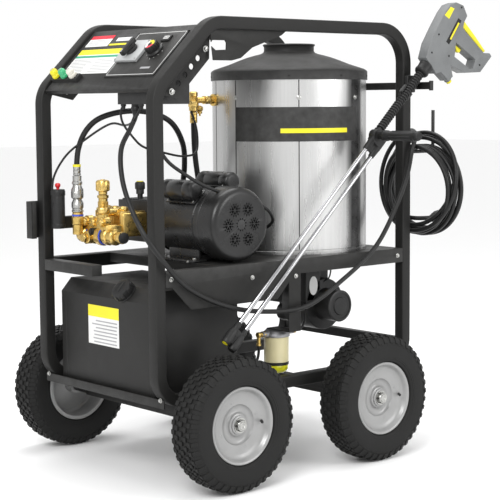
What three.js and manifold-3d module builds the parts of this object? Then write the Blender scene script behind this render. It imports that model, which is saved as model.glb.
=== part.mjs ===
// Hot-water pressure washer on four wheels, in millimetres, +Z up.
// X runs from the control-panel end to the cord-hanger end, -Y is the side that carries the wand.
import * as THREE from "three";
import { mergeVertices } from "three/addons/utils/BufferGeometryUtils.js";
import Module from "manifold-3d";

const wasm = await Module();
wasm.setup();

// ---- driving dimensions -------------------------------------------------------------------------
const GAP = 0.3; // between pieces that touch

const TUBE = 38; // square tube of the side frames
const FRAME_LENGTH = 1073;
const FRAME_WIDTH = 622;
const FRAME_TOP = 1396;
const FRAME_BOTTOM = 248;
const SLANT_RUN = 218; // how far the slanted panel corner reaches back
const SLANT_DROP = 212; // and down
const LOOP_RADIUS = { low: 100, high: 130, slant: 110 };

const WHEELBASE = 589;
const TRACK = 846;
const TYRE_RADIUS = 203;
const TYRE_WIDTH = 112;
const TYRE_SEAT = 108; // radius where the tyre sits on the rim
const RIM_FLANGE = 116;
const RIM_WIDTH = 92;
const HUB_RADIUS = 28;
const SPINDLE_RADIUS = 12;
const SPINDLE_PLAY = 0.5;
const WHEEL_SIDES = 28;
const BEAM = 38; // square axle beam

const DECK_TOP = 653.5;
const DECK_SHEET = 4;
const DECK_FLANGE = 47; // depth of the side flanges
const DECK_FLANGE_SHEET = 3;
const DECK_OPEN = 216; // length of the open bay over the tank filler
const SKIRT_DROP = 72;

const PANEL_LOW = { x: -468, z: 1187 };
const PANEL_SLOPE = THREE.MathUtils.degToRad(44.3);
const PANEL_LENGTH = 272;
const PANEL_SHEET = 4;

const BOILER = { x: 300, y: -20 };
const BOILER_RADIUS = 257;
const BOILER_WALL = 3;
const BOILER_TOP = 1238;
const BOILER_SIDES = 40;
const LID_SKIRT = 25;
const LID_RISE = 65; // from the shell top to the foot of the stack
const STACK_RADIUS = 85;
const STACK_HEIGHT = 30;
const COIL_OUTER = BOILER_RADIUS - BOILER_WALL - 29;
const COIL_INNER = COIL_OUTER - 75;
const COIL_PITCH = 88;
const COIL_TURNS = 6;

const MOTOR = { x: -145, z: 772 };
const MOTOR_RADIUS = 105;
const MOTOR_WALL = 14;
const MOTOR_FRONT = -195;
const MOTOR_BACK = 15;
const BELL_LENGTH = 30;
const FAN_COVER_RADIUS = 114;
const FAN_COVER_LENGTH = 96;
const FAN_COVER_WALL = 3;
const SHAFT_RADIUS = 14;
const CAPACITOR_RADIUS = 30;

const PUMP_LENGTH = 160;
const PUMP_BORE = 45;
const CRANK_THROW = 9;
const GALLERY_RADIUS = 26;

const TANK = { x0: -445, x1: -125, half: 245, z1: 588 };
const TANK_WALL = 5;
const TANK_CHAMFER = { run: 37, drop: 40 };
const NECK_BORE = 26;
const NECK_WALL = 4;
const FILLER_Y = -80;
const CAP_RADIUS = 37;
const TRAY_Z = 255;

const WAND_TIP = { x: -268, y: -362, z: 425 };
const WAND_ANGLE = THREE.MathUtils.degToRad(43.4);
const WAND_TUBE = 7; // radius
const WAND_SPACING = 34;
const WAND_VALVE = 850; // where the side valve starts, along the wand
const SLEEVE_START = 905;
const SLEEVE_RADIUS = 15;
const COLLAR_START = 1165;
const COLLAR_END = 1204.5;
const COLLAR_RADIUS = 24;
const GUN_HALF = 20;
const TRIGGER_HALF = 12;

const CORD_RADIUS = 7.5;
const HOSE_RADIUS = 9;
const COIL_ROOM = 12; // from the frame to the stored cord
const COIL_DEPTH = 94;
const COIL_SIDES = 28;

// ---- values worked out from them ----------------------------------------------------------------
const X0 = -489; // panel-end face of the frame
const X1 = X0 + FRAME_LENGTH;
const HALF = FRAME_WIDTH / 2;
const INNER = HALF - TUBE; // inside face of a side frame
const AXLE_Z = TYRE_RADIUS * Math.cos(Math.PI / WHEEL_SIDES); // a facet of the tyre lies on the floor
const DECK_UNDER = DECK_TOP - DECK_SHEET;
const ON_DECK = DECK_TOP + GAP;
const LID_FOOT = BOILER_TOP + LID_RISE;
const CORD_COIL = {
  x0: X1 + COIL_ROOM, x1: X1 + COIL_ROOM + COIL_DEPTH, y: -HALF + 9, z: 878, outer: 190, inner: 105,
};

// ---- solids -------------------------------------------------------------------------------------
// A closed geometry as a solid, with its faces pointing out whichever way its outline ran.
function solid(geometry) {
  const bare = geometry.clone();
  bare.deleteAttribute("normal");
  bare.deleteAttribute("uv");
  const merged = mergeVertices(bare, 1e-3);
  const points = merged.attributes.position.array;
  const index = merged.index.array;
  const kept = [];
  let volume = 0;
  for (let i = 0; i < index.length; i += 3) {
    const [a, b, c] = [index[i], index[i + 1], index[i + 2]];
    if (a !== b && b !== c && c !== a) {
      kept.push(a, b, c);
      const [p, q, r] = [a, b, c].map((k) => new THREE.Vector3().fromArray(points, 3 * k));
      volume += p.dot(q.cross(r));
    }
  }
  if (volume < 0) {
    for (let i = 0; i < kept.length; i += 3) [kept[i], kept[i + 1]] = [kept[i + 1], kept[i]];
  }
  const mesh = { numProp: 3, vertProperties: new Float32Array(points), triVerts: new Uint32Array(kept) };
  return new wasm.Manifold(new wasm.Mesh(mesh));
}

const join = (first, ...others) => others.reduce((sum, piece) => sum.add(piece), first);
const cut = (first, ...others) => others.reduce((rest, piece) => rest.subtract(piece), first);

function block(x0, x1, y0, y1, z0, z1) {
  const geometry = new THREE.BoxGeometry(x1 - x0, y1 - y0, z1 - z0);
  geometry.translate((x0 + x1) / 2, (y0 + y1) / 2, (z0 + z1) / 2);
  return solid(geometry);
}

// A closed profile of [radius, height] points turned about an axis through the given place.
function turned(axis, profile, { x = 0, y = 0, z = 0 }, sides = 24) {
  const outline = [...profile, profile[0]].map(([r, h]) => new THREE.Vector2(r, h));
  const geometry = new THREE.LatheGeometry(outline, sides, Math.PI / sides);
  if (axis === "z") geometry.rotateX(Math.PI / 2);
  if (axis === "x") geometry.rotateZ(-Math.PI / 2);
  geometry.translate(x, y, z);
  return solid(geometry);
}

function rod(axis, radius, from, to, place, sides = 16) {
  return turned(axis, [[0, from], [radius, from], [radius, to], [0, to]], place, sides);
}

function ring(axis, inner, outer, from, to, place, sides = 24) {
  return turned(axis, [[inner, from], [outer, from], [outer, to], [inner, to]], place, sides);
}

function shapeOf(points, holes = []) {
  const shape = new THREE.Shape(points.map(([a, b]) => new THREE.Vector2(a, b)));
  shape.holes = holes.map((hole) => new THREE.Path(hole.map(([a, b]) => new THREE.Vector2(a, b))));
  return shape;
}

// A plate with an [x, z] outline, between two values of y.
function plateXZ(points, y0, y1, holes) {
  const geometry = new THREE.ExtrudeGeometry(shapeOf(points, holes), { depth: y1 - y0, bevelEnabled: false });
  geometry.rotateX(Math.PI / 2);
  geometry.translate(0, y1, 0);
  return solid(geometry);
}

// A plate with an [x, y] outline, between two values of z.
function plateXY(points, z0, z1, holes) {
  const geometry = new THREE.ExtrudeGeometry(shapeOf(points, holes), { depth: z1 - z0, bevelEnabled: false });
  geometry.translate(0, 0, z0);
  return solid(geometry);
}

// A round hose or cord along hand-chosen points.
function hose(points, radius, steps, sides = 8) {
  const path = new THREE.CatmullRomCurve3(points.map((p) => new THREE.Vector3(...p)), false, "centripetal");
  const section = shapeOf(circle(0, 0, radius, sides));
  const options = { steps, extrudePath: path, bevelEnabled: false };
  return solid(new THREE.ExtrudeGeometry(section, options));
}

function circle(cx, cy, radius, sides = 16) {
  return Array.from({ length: sides }, (_, i) => {
    const turn = (2 * Math.PI * (i + 0.5)) / sides;
    return [cx + radius * Math.cos(turn), cy + radius * Math.sin(turn)];
  });
}

// The outline of a polygon with rounded corners [x, z, radius], moved in by an inset.
function rounded(corners, inset = 0, steps = 6) {
  const outline = [];
  corners.forEach(([x, z, radius], i) => {
    const at = new THREE.Vector2(x, z);
    const before = corners[(i + corners.length - 1) % corners.length];
    const after = corners[(i + 1) % corners.length];
    const u = new THREE.Vector2(before[0], before[1]).sub(at).normalize();
    const v = new THREE.Vector2(after[0], after[1]).sub(at).normalize();
    const half = Math.acos(u.dot(v)) / 2;
    const centre = u.clone().add(v).normalize().multiplyScalar(radius / Math.sin(half)).add(at);
    const from = u.clone().multiplyScalar(radius / Math.tan(half)).add(at).sub(centre);
    const to = v.clone().multiplyScalar(radius / Math.tan(half)).add(at).sub(centre);
    const start = from.angle();
    let sweep = to.angle() - start;
    if (sweep > Math.PI) sweep -= 2 * Math.PI;
    if (sweep < -Math.PI) sweep += 2 * Math.PI;
    for (let k = 0; k <= steps; k += 1) {
      const turn = start + (sweep * k) / steps;
      outline.push([centre.x + (radius - inset) * Math.cos(turn), centre.y + (radius - inset) * Math.sin(turn)]);
    }
  });
  return outline;
}

// ---- finishes and the scene graph ---------------------------------------------------------------
const FINISH = {
  blackPowder: { color: 0x32312f, roughness: 0.6, metalness: 0.3 },
  blackPlastic: { color: 0x232323, roughness: 0.5, metalness: 0 },
  rubber: { color: 0x282826, roughness: 0.9, metalness: 0 },
  rimGrey: { color: 0xbebebc, roughness: 0.4, metalness: 0.4 },
  stainless: { color: 0xc8c8c6, roughness: 0.3, metalness: 0.9 },
  steel: { color: 0xa8a8a8, roughness: 0.35, metalness: 0.9 },
  chrome: { color: 0xd8d8d8, roughness: 0.12, metalness: 1 },
  brass: { color: 0xbea050, roughness: 0.35, metalness: 0.9 },
  yellow: { color: 0xf0e61e, roughness: 0.45, metalness: 0 },
  green: { color: 0x3aa36c, roughness: 0.45, metalness: 0 },
  white: { color: 0xe8e6dc, roughness: 0.45, metalness: 0 },
  red: { color: 0xc02020, roughness: 0.4, metalness: 0 },
  gunGrey: { color: 0x7d7f80, roughness: 0.6, metalness: 0 },
  plateGrey: { color: 0xb9bbbb, roughness: 0.5, metalness: 0.2 },
  cream: { color: 0xd8d2b0, roughness: 0.5, metalness: 0 },
};

const machine = new THREE.Group();

function add(name, piece, finish, group = machine) {
  const { vertProperties, triVerts } = piece.getMesh();
  const geometry = new THREE.BufferGeometry();
  geometry.setAttribute("position", new THREE.BufferAttribute(new Float32Array(vertProperties), 3));
  geometry.setIndex(new THREE.BufferAttribute(new Uint32Array(triVerts), 1));
  geometry.computeVertexNormals();
  const mesh = new THREE.Mesh(geometry, new THREE.MeshStandardMaterial(FINISH[finish]));
  mesh.name = name;
  group.add(mesh);
}

// ---- side frames --------------------------------------------------------------------------------
function buildSideFrames() {
  const corners = [
    [X0, FRAME_BOTTOM, LOOP_RADIUS.low],
    [X1, FRAME_BOTTOM, LOOP_RADIUS.low],
    [X1, FRAME_TOP, LOOP_RADIUS.high],
    [X0 + SLANT_RUN, FRAME_TOP, LOOP_RADIUS.slant],
    [X0, FRAME_TOP - SLANT_DROP, LOOP_RADIUS.slant],
  ];
  const outside = rounded(corners);
  const inside = rounded(corners, TUBE);
  const near = plateXZ(outside, -HALF, -INNER, [inside]);
  const far = plateXZ(outside, INNER, HALF, [inside]);
  const clipX = X1 - TUBE / 2;
  const cradle = WAND_TIP.y + SLEEVE_RADIUS + GAP;
  const clip = block(clipX - 17, clipX + 17, cradle, -HALF + 1, 1180, 1216);
  add("side_frame_near", join(near, clip), "blackPowder");
  // a folded sheet guard stands outboard of the pump
  const guard = join(
    block(X0 - 38, X0 + 12, HALF - 1, HALF + 3, 716, 834),
    block(X0 - 38, X0 - 35, HALF - 30, HALF + 3, 716, 834),
  );
  add("side_frame_far", join(far, guard), "blackPowder");
}

// ---- axles and wheels ---------------------------------------------------------------------------
const SIDES = [{ word: "near", sign: -1 }, { word: "far", sign: 1 }];
const ENDS = [{ word: "panel_end", x: -WHEELBASE / 2 }, { word: "hanger_end", x: WHEELBASE / 2 }];
const HUB_IN = 34;
const HUB_OUT = 30;

function buildAxles() {
  for (const { word, x } of ENDS) {
    const place = { x, z: AXLE_Z };
    const reach = TRACK / 2 + HUB_OUT + SPINDLE_PLAY + 12;
    const parts = [rod("y", SPINDLE_RADIUS, -reach, reach, place)];
    for (const { sign } of SIDES) {
      const inner = TRACK / 2 - HUB_IN - SPINDLE_PLAY;
      const outer = TRACK / 2 + HUB_OUT + SPINDLE_PLAY;
      const [a, b] = [sign * (HALF - 6), sign * inner].sort((p, q) => p - q);
      const [c, d] = [sign * outer, sign * (outer + 10)].sort((p, q) => p - q);
      parts.push(rod("y", SPINDLE_RADIUS + 8, a, b, place));
      parts.push(rod("y", SPINDLE_RADIUS + 6, c, d, place, 6));
      const [e, f] = [sign * INNER, sign * HALF].sort((p, q) => p - q);
      parts.push(block(x - 30, x + 30, e, f, AXLE_Z, FRAME_BOTTOM - GAP));
    }
    const beam = block(x - BEAM / 2, x + BEAM / 2, -HALF, HALF, AXLE_Z - BEAM / 2, AXLE_Z + BEAM / 2);
    add(`axle_beam_${word}`, join(beam, ...parts), "blackPowder");
  }
}

function buildWheel(end, side) {
  const y = (side.sign * TRACK) / 2;
  const out = side.sign;
  const half = TYRE_WIDTH / 2;
  const bore = SPINDLE_RADIUS + GAP;
  const lip = RIM_WIDTH / 2;
  const rim = [
    [bore, -HUB_IN], [HUB_RADIUS, -HUB_IN], [HUB_RADIUS, 6], [100, 2], [100, -lip],
    [RIM_FLANGE, -lip], [TYRE_SEAT, 7 - lip], [TYRE_SEAT, lip - 7],
    [RIM_FLANGE, lip], [100, lip], [100, 8], [HUB_RADIUS, 12],
    [HUB_RADIUS, HUB_OUT], [bore, HUB_OUT],
  ];
  const bead = TYRE_SEAT + GAP;
  const wall = lip - 7 - GAP;
  const tread = 34;
  const tyre = [
    [bead, -wall], [RIM_FLANGE + 2, -wall], [RIM_FLANGE + 6, -half + 6], [160, -half], [188, -half + 5],
    [TYRE_RADIUS, -tread], [TYRE_RADIUS, tread], [188, half - 5], [160, half],
    [RIM_FLANGE + 6, half - 6], [RIM_FLANGE + 2, wall], [bead, wall],
  ];
  const place = { x: end.x, y, z: AXLE_Z };
  const facing = (profile) => profile.map(([r, h]) => [r, h * out]);
  add(`rim_${end.word}_${side.word}`, turned("y", facing(rim), place, WHEEL_SIDES), "rimGrey");
  add(`tyre_${end.word}_${side.word}`, turned("y", facing(tyre), place, WHEEL_SIDES), "rubber");
}

// ---- deck, tray and rails -----------------------------------------------------------------------
function buildDeck() {
  const x0 = X0 + TUBE + GAP;
  const x1 = X1 - TUBE - GAP;
  const bay = x0 + DECK_OPEN;
  const outline = [
    [x0, -HALF], [x1, -HALF], [x1, HALF], [x0, HALF], [x0, INNER], [bay, INNER], [bay, -INNER], [x0, -INNER],
  ];
  const drain = circle(BOILER.x, BOILER.y, COIL_INNER - 12, 32);
  const top = plateXY(outline, DECK_UNDER, DECK_TOP, [drain]);
  const low = DECK_TOP - DECK_FLANGE;
  const flanges = [
    block(x0, x1, -HALF, -HALF + DECK_FLANGE_SHEET, low, DECK_UNDER),
    block(x0, x1, HALF - DECK_FLANGE_SHEET, HALF, low, DECK_UNDER),
    block(bay, bay + DECK_FLANGE_SHEET, -INNER, INNER, low + 17, DECK_UNDER),
  ];
  const skirtEnd = 56;
  const skirt = plateXZ(
    [[x0 + 20, low], [x0 + 92, low - SKIRT_DROP], [skirtEnd - SKIRT_DROP, low - SKIRT_DROP], [skirtEnd, low]],
    -HALF, -HALF + DECK_FLANGE_SHEET,
  );
  const drop = FILTER.top + GAP;
  const strap = join(
    block(FILTER.x - 25, FILTER.x + 25, -HALF, -HALF + DECK_FLANGE_SHEET, drop, low),
    block(FILTER.x - 25, FILTER.x + 25, -HALF, FILTER.y + 20, drop, drop + DECK_FLANGE_SHEET),
  );
  add("deck", join(top, ...flanges, skirt, strap), "blackPowder");

  const rail = join(
    block(X0, X0 + TUBE, 10, INNER - GAP, DECK_UNDER - 6, DECK_UNDER),
    block(X0, X0 + 4, 10, INNER - GAP, DECK_UNDER - 34, DECK_UNDER),
    block(X0, X0 + TUBE, 10, 14, DECK_UNDER - 34, DECK_UNDER),
  );
  add("pump_end_rail", rail, "blackPowder");

  const lip = X0 + 30 - GAP;
  const tray = join(
    block(lip - 6, lip - 0.5, -HALF, HALF, FRAME_BOTTOM + 2, FRAME_BOTTOM + 28),
    block(lip - 1, TANK.x1 + 10, -INNER + GAP, INNER - GAP, TRAY_Z, TRAY_Z + 4),
  );
  add("tank_tray", tray, "blackPowder");

  const bar = block(X1 - TUBE, X1 - TUBE + 30, -INNER + GAP, INNER - GAP, FRAME_BOTTOM + 70, FRAME_BOTTOM + 100);
  add("crossbar_hanger_end", bar, "blackPowder");
}

// ---- cord hanger --------------------------------------------------------------------------------
function buildHanger() {
  const reach = 393;
  const x = X1 + GAP;
  const flare = (y) => block(x, x + 14, y - 4, y + 4, 1176, 1208);
  const bar = join(block(x, x + 10, -reach, reach, 1180, 1204), flare(-reach), flare(reach));
  add("hanger_bar", bar, "blackPowder");

  const radius = 6;
  const seat = CORD_COIL.z + (CORD_COIL.inner - 3) * Math.cos(Math.PI / COIL_SIDES) - radius - GAP;
  const end = CORD_COIL.x1 + 12;
  const hook = join(
    rod("x", radius, X1 + GAP, end, { y: CORD_COIL.y, z: seat }, 12),
    rod("z", radius, seat - radius, 1112, { x: end, y: CORD_COIL.y }, 12),
    rod("x", 16, X1 + GAP, X1 + GAP + 6, { y: -HALF + TUBE / 2, z: seat }, 12),
  );
  add("cord_hook", hook, "blackPowder");
}

// ---- control panel ------------------------------------------------------------------------------
// In the panel's own group x runs up the slope, z stands out of it.
const SWITCH = { s: 150, y: -52 };
const DIAL = { s: 150, y: -160 };
const NOZZLES = [{ word: "yellow", y: 240 }, { word: "green", y: 195 }, { word: "white", y: 150 }];
const NOZZLE_S = 42;
const HOLDER_TOP = 14;
const PLATE_TOP = 3 + GAP;
const SWITCH_TOP = PLATE_TOP + GAP + 10;

function buildPanel() {
  const panel = new THREE.Group();
  panel.position.set(PANEL_LOW.x, 0, PANEL_LOW.z);
  panel.rotation.y = -PANEL_SLOPE;
  machine.add(panel);

  const half = INNER - GAP;
  const s0 = -8;
  const s1 = PANEL_LENGTH - 8;
  const strip = [[s0, -PANEL_SHEET], [s0, -12], [45, -92], [215, -92], [s1, -45], [s1, -PANEL_SHEET]];
  const slots = [80, 115, 150, 185].map((s) => circle(s, -62, 9));
  const bolts = [45, 225].map((s) => circle(s, -62, 4.5, 8));
  const holder = block(NOZZLE_S - 14, NOZZLE_S + 12, 125, 262, -1, HOLDER_TOP);
  const sockets = NOZZLES.map(({ y }) => rod("z", 8, 2, HOLDER_TOP + 1, { x: NOZZLE_S, y }, 16));
  const body = join(
    block(s0, s1, -half, half, -PANEL_SHEET, 0),
    block(s0, s0 + PANEL_SHEET, -half, half, -14, -1),
    block(s1 - PANEL_SHEET, s1, -half, half, -30, -1),
    plateXZ(strip, -half, -half + PANEL_SHEET, [...slots, ...bolts]),
    plateXZ(strip, half - PANEL_SHEET, half, [...slots, ...bolts]),
    holder,
  );
  add("control_console", cut(body, ...sockets), "blackPowder", panel);

  const plate = join(
    block(46, 240, -244, 4, GAP, PLATE_TOP),
    block(192, 216, -186, -148, PLATE_TOP - 1, PLATE_TOP + 5),
  );
  add("control_plate", plate, "blackPowder", panel);

  const switchPlate = block(106, 194, -108, 3, PLATE_TOP + GAP, SWITCH_TOP);
  const rise = SWITCH_TOP + GAP;
  add("switch_plate", switchPlate, "plateGrey", panel);
  const lever = join(
    rod("z", 21, rise, rise + 12, { x: SWITCH.s, y: SWITCH.y }),
    block(SWITCH.s - 38, SWITCH.s + 30, SWITCH.y - 8, SWITCH.y + 8, rise + 8, rise + 26),
  );
  add("switch_knob", lever, "blackPlastic", panel);
  const foot = PLATE_TOP + GAP;
  const dial = turned(
    "z", [[0, foot], [27, foot], [27, foot + 6], [24, foot + 9], [23, foot + 28], [20, foot + 30], [0, foot + 30]],
    { x: DIAL.s, y: DIAL.y },
  );
  add("dial_knob", dial, "blackPlastic", panel);

  for (const { word, y } of NOZZLES) {
    const base = HOLDER_TOP + GAP;
    const nozzle = turned(
      "z",
      [[0, 2 + GAP], [7, 2 + GAP], [7, base], [13, base], [14, base + 8], [12, base + 24], [7, base + 30], [0, base + 30]],
      { x: NOZZLE_S, y }, 20,
    );
    add(`nozzle_${word}`, nozzle, word, panel);
  }
}

function buildControlBox() {
  const low = 1138;
  const sheet = (PANEL_SHEET + GAP) / Math.cos(PANEL_SLOPE);
  const under = (x) => PANEL_LOW.z + (x - PANEL_LOW.x) * Math.tan(PANEL_SLOPE) - sheet;
  const front = -450;
  const back = -300;
  const outline = [[front, low], [back, low], [back, under(back)], [front, under(front)]];
  const shell = plateXZ(outline, -240, -85);
  const gland = rod("z", 13, low - 8, low + 1, { x: POWER_EXIT[0], y: POWER_EXIT[1] }, 16);
  add("control_box", join(shell, gland), "blackPlastic");
}

// ---- boiler and burner --------------------------------------------------------------------------
function buildBoiler() {
  const place = { x: BOILER.x, y: BOILER.y };
  const inner = BOILER_RADIUS - BOILER_WALL;
  add("boiler_shell", ring("z", inner, BOILER_RADIUS, ON_DECK, BOILER_TOP, place, BOILER_SIDES), "stainless");

  const skirt = BOILER_RADIUS + GAP;
  const outer = skirt + 4;
  const rim = BOILER_TOP + 5;
  const lid = [
    [outer, BOILER_TOP - LID_SKIRT], [outer, rim], [outer - 9, rim + 8], [150, LID_FOOT - 13],
    [STACK_RADIUS, LID_FOOT], [STACK_RADIUS, LID_FOOT + STACK_HEIGHT],
    [STACK_RADIUS - 4, LID_FOOT + STACK_HEIGHT], [STACK_RADIUS - 4, LID_FOOT - 4], [148, LID_FOOT - 17],
    [outer - 12, rim + 3], [skirt, rim - 2], [skirt, BOILER_TOP - LID_SKIRT],
  ];
  add("boiler_lid", turned("z", lid, place, BOILER_SIDES), "blackPowder");

  const depth = 12;
  const coil = [];
  for (let i = 0; i < COIL_TURNS; i += 1) {
    coil.push([COIL_OUTER - depth, ON_DECK + i * COIL_PITCH], [COIL_OUTER, ON_DECK + (i + 0.5) * COIL_PITCH]);
  }
  coil.push([COIL_OUTER - depth, ON_DECK + COIL_TURNS * COIL_PITCH]);
  coil.push([COIL_INNER, ON_DECK + COIL_TURNS * COIL_PITCH], [COIL_INNER, ON_DECK]);
  add("heating_coil", turned("z", coil, place, 24), "steel");

  const y = 80;
  const wall = BOILER.x - Math.sqrt(BOILER_RADIUS ** 2 - (BOILER.y - y) ** 2);
  const z = 1150;
  const fitting = join(
    rod("x", 10, -30, wall - 1, { y, z }, 12),
    rod("x", 15, wall - 26, wall - 12, { y, z }, 6),
    rod("z", 15, 1112, 1178, { x: BOILER_HOSE_X, y }, 16),
    rod("z", 18, 1128, 1146, { x: BOILER_HOSE_X, y }, 6),
    rod("x", 8, -30, 4, { y, z: 1122 }, 12),
    rod("x", 20, wall - 8, wall - 1, { y, z }, 16),
  );
  const shellSpace = rod("z", BOILER_RADIUS + GAP, 1000, 1210, place, BOILER_SIDES);
  add("boiler_fitting", cut(fitting, shellSpace), "brass");
}

function buildBurner() {
  const blower = { x: BOILER.x + 10, z: 475 };
  const top = DECK_UNDER - GAP;
  const burner = join(
    rod("z", 150, 590, top, { x: BOILER.x, y: BOILER.y }, 32),
    block(blower.x - 45, blower.x + 45, -150, -40, 500, 600),
    rod("y", 85, -180, -60, blower, 32),
    rod("y", 52, -250, -180, blower, 24),
    block(blower.x - 60, blower.x + 70, -50, 90, 470, 600),
    rod("y", 30, -60, 30, { x: blower.x, z: 430 }, 20),
  );
  const flame = rod("z", 110, 600, 700, { x: BOILER.x, y: BOILER.y }, 32);
  add("burner", cut(burner, flame), "blackPlastic");
}

// ---- motor --------------------------------------------------------------------------------------
function buildMotor() {
  const inner = MOTOR_RADIUS - MOTOR_WALL;
  const bore = SHAFT_RADIUS + GAP;
  const shell = turned("y", [
    [bore, MOTOR_FRONT], [MOTOR_RADIUS, MOTOR_FRONT], [MOTOR_RADIUS, MOTOR_BACK], [inner, MOTOR_BACK],
    [inner, MOTOR_FRONT + 12], [bore, MOTOR_FRONT + 12],
  ], MOTOR, 28);
  const feet = join(
    block(MOTOR.x - 98, MOTOR.x + 98, MOTOR_FRONT + 12, MOTOR_BACK - 14, ON_DECK, ON_DECK + 7),
    block(MOTOR.x - 60, MOTOR.x + 60, MOTOR_FRONT + 30, MOTOR_BACK - 30, ON_DECK + 5, MOTOR.z - MOTOR_RADIUS + 22),
  );
  const room = rod("y", inner, MOTOR_FRONT + 12, MOTOR_BACK + 1, MOTOR, 28);
  add("motor_shell", cut(join(shell, feet), room), "blackPowder");

  const bellFrom = MOTOR_BACK + GAP;
  const bell = ring("y", bore, MOTOR_RADIUS - 4, bellFrom, bellFrom + BELL_LENGTH, MOTOR, 28);
  add("motor_end_bell", bell, "blackPowder");

  const back = MOTOR_FRONT - GAP;
  const front = back - FAN_COVER_LENGTH;
  const cover = turned("y", [
    [0, front], [FAN_COVER_RADIUS - 16, front], [FAN_COVER_RADIUS, front + 14], [FAN_COVER_RADIUS, back],
    [MOTOR_RADIUS - 10, back], [MOTOR_RADIUS - 10, back - 3], [FAN_COVER_RADIUS - FAN_COVER_WALL, back - 3],
    [FAN_COVER_RADIUS - FAN_COVER_WALL, front + 15], [FAN_COVER_RADIUS - 17, front + 3], [0, front + 3],
  ], MOTOR, 28);
  const vents = [0, 1, 2, 3, 4, 5].map((i) => {
    const turn = (i * Math.PI) / 3 + Math.PI / 6;
    const x = MOTOR.x + 58 * Math.cos(turn);
    const z = MOTOR.z + 58 * Math.sin(turn);
    return rod("y", 20, front - 1, front + 4, { x, z }, 12);
  });
  add("motor_fan_cover", cut(cover, ...vents), "blackPowder");

  const crankFrom = bellFrom + BELL_LENGTH + 14;
  const lobes = [0, 1, 2].map((i) => {
    const turn = (i * 2 * Math.PI) / 3;
    const x = MOTOR.x + CRANK_THROW * Math.cos(turn);
    const z = MOTOR.z + CRANK_THROW * Math.sin(turn);
    return rod("y", 25, crankFrom + 42 * i, crankFrom + 42 * i + 26, { x, z }, 12);
  });
  const rotor = join(
    rod("y", SHAFT_RADIUS, front + 20, crankFrom + 118, MOTOR),
    rod("y", inner - 8, MOTOR_FRONT + 40, MOTOR_BACK - 20, MOTOR, 32),
    rod("y", 95, front + 34, front + 42, MOTOR, 32),
    ...lobes,
  );
  const blades = [0, 1, 2, 3, 4, 5, 6, 7].map((i) => {
    const geometry = new THREE.BoxGeometry(60, 30, 4);
    geometry.translate(62, front + 56, 0);
    geometry.rotateY((i * Math.PI) / 4);
    geometry.translate(MOTOR.x, 0, MOTOR.z);
    return solid(geometry);
  });
  add("motor_rotor", join(rotor, ...blades), "steel");

  const saddle = rod("y", MOTOR_RADIUS + GAP, MOTOR_FRONT, MOTOR_BACK, MOTOR, 28);
  for (const { word, x, z } of [{ word: "start", x: -235, z: 876 }, { word: "run", x: -88, z: 896 }]) {
    const [dx, dz] = [MOTOR.x - x, MOTOR.z - z];
    const reach = Math.hypot(dx, dz) - MOTOR_RADIUS + 6;
    const foot = new THREE.BoxGeometry(reach, 120, 34);
    foot.translate(reach / 2, -110, 0);
    foot.rotateY(-Math.atan2(dz, dx));
    foot.translate(x, 0, z);
    const housing = join(rod("y", CAPACITOR_RADIUS, -186, -34, { x, z }, 24), solid(foot));
    add(`capacitor_cover_${word}`, cut(housing, saddle), "blackPowder");
  }
}

// ---- pump ---------------------------------------------------------------------------------------
const PUMP_Y = MOTOR_BACK + GAP + BELL_LENGTH + GAP;
const OUTLET = { x: -415, y: 190 };
const UNLOADER = { x: -380, y: 100 };
const OUTLET_TOP = 915;

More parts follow.
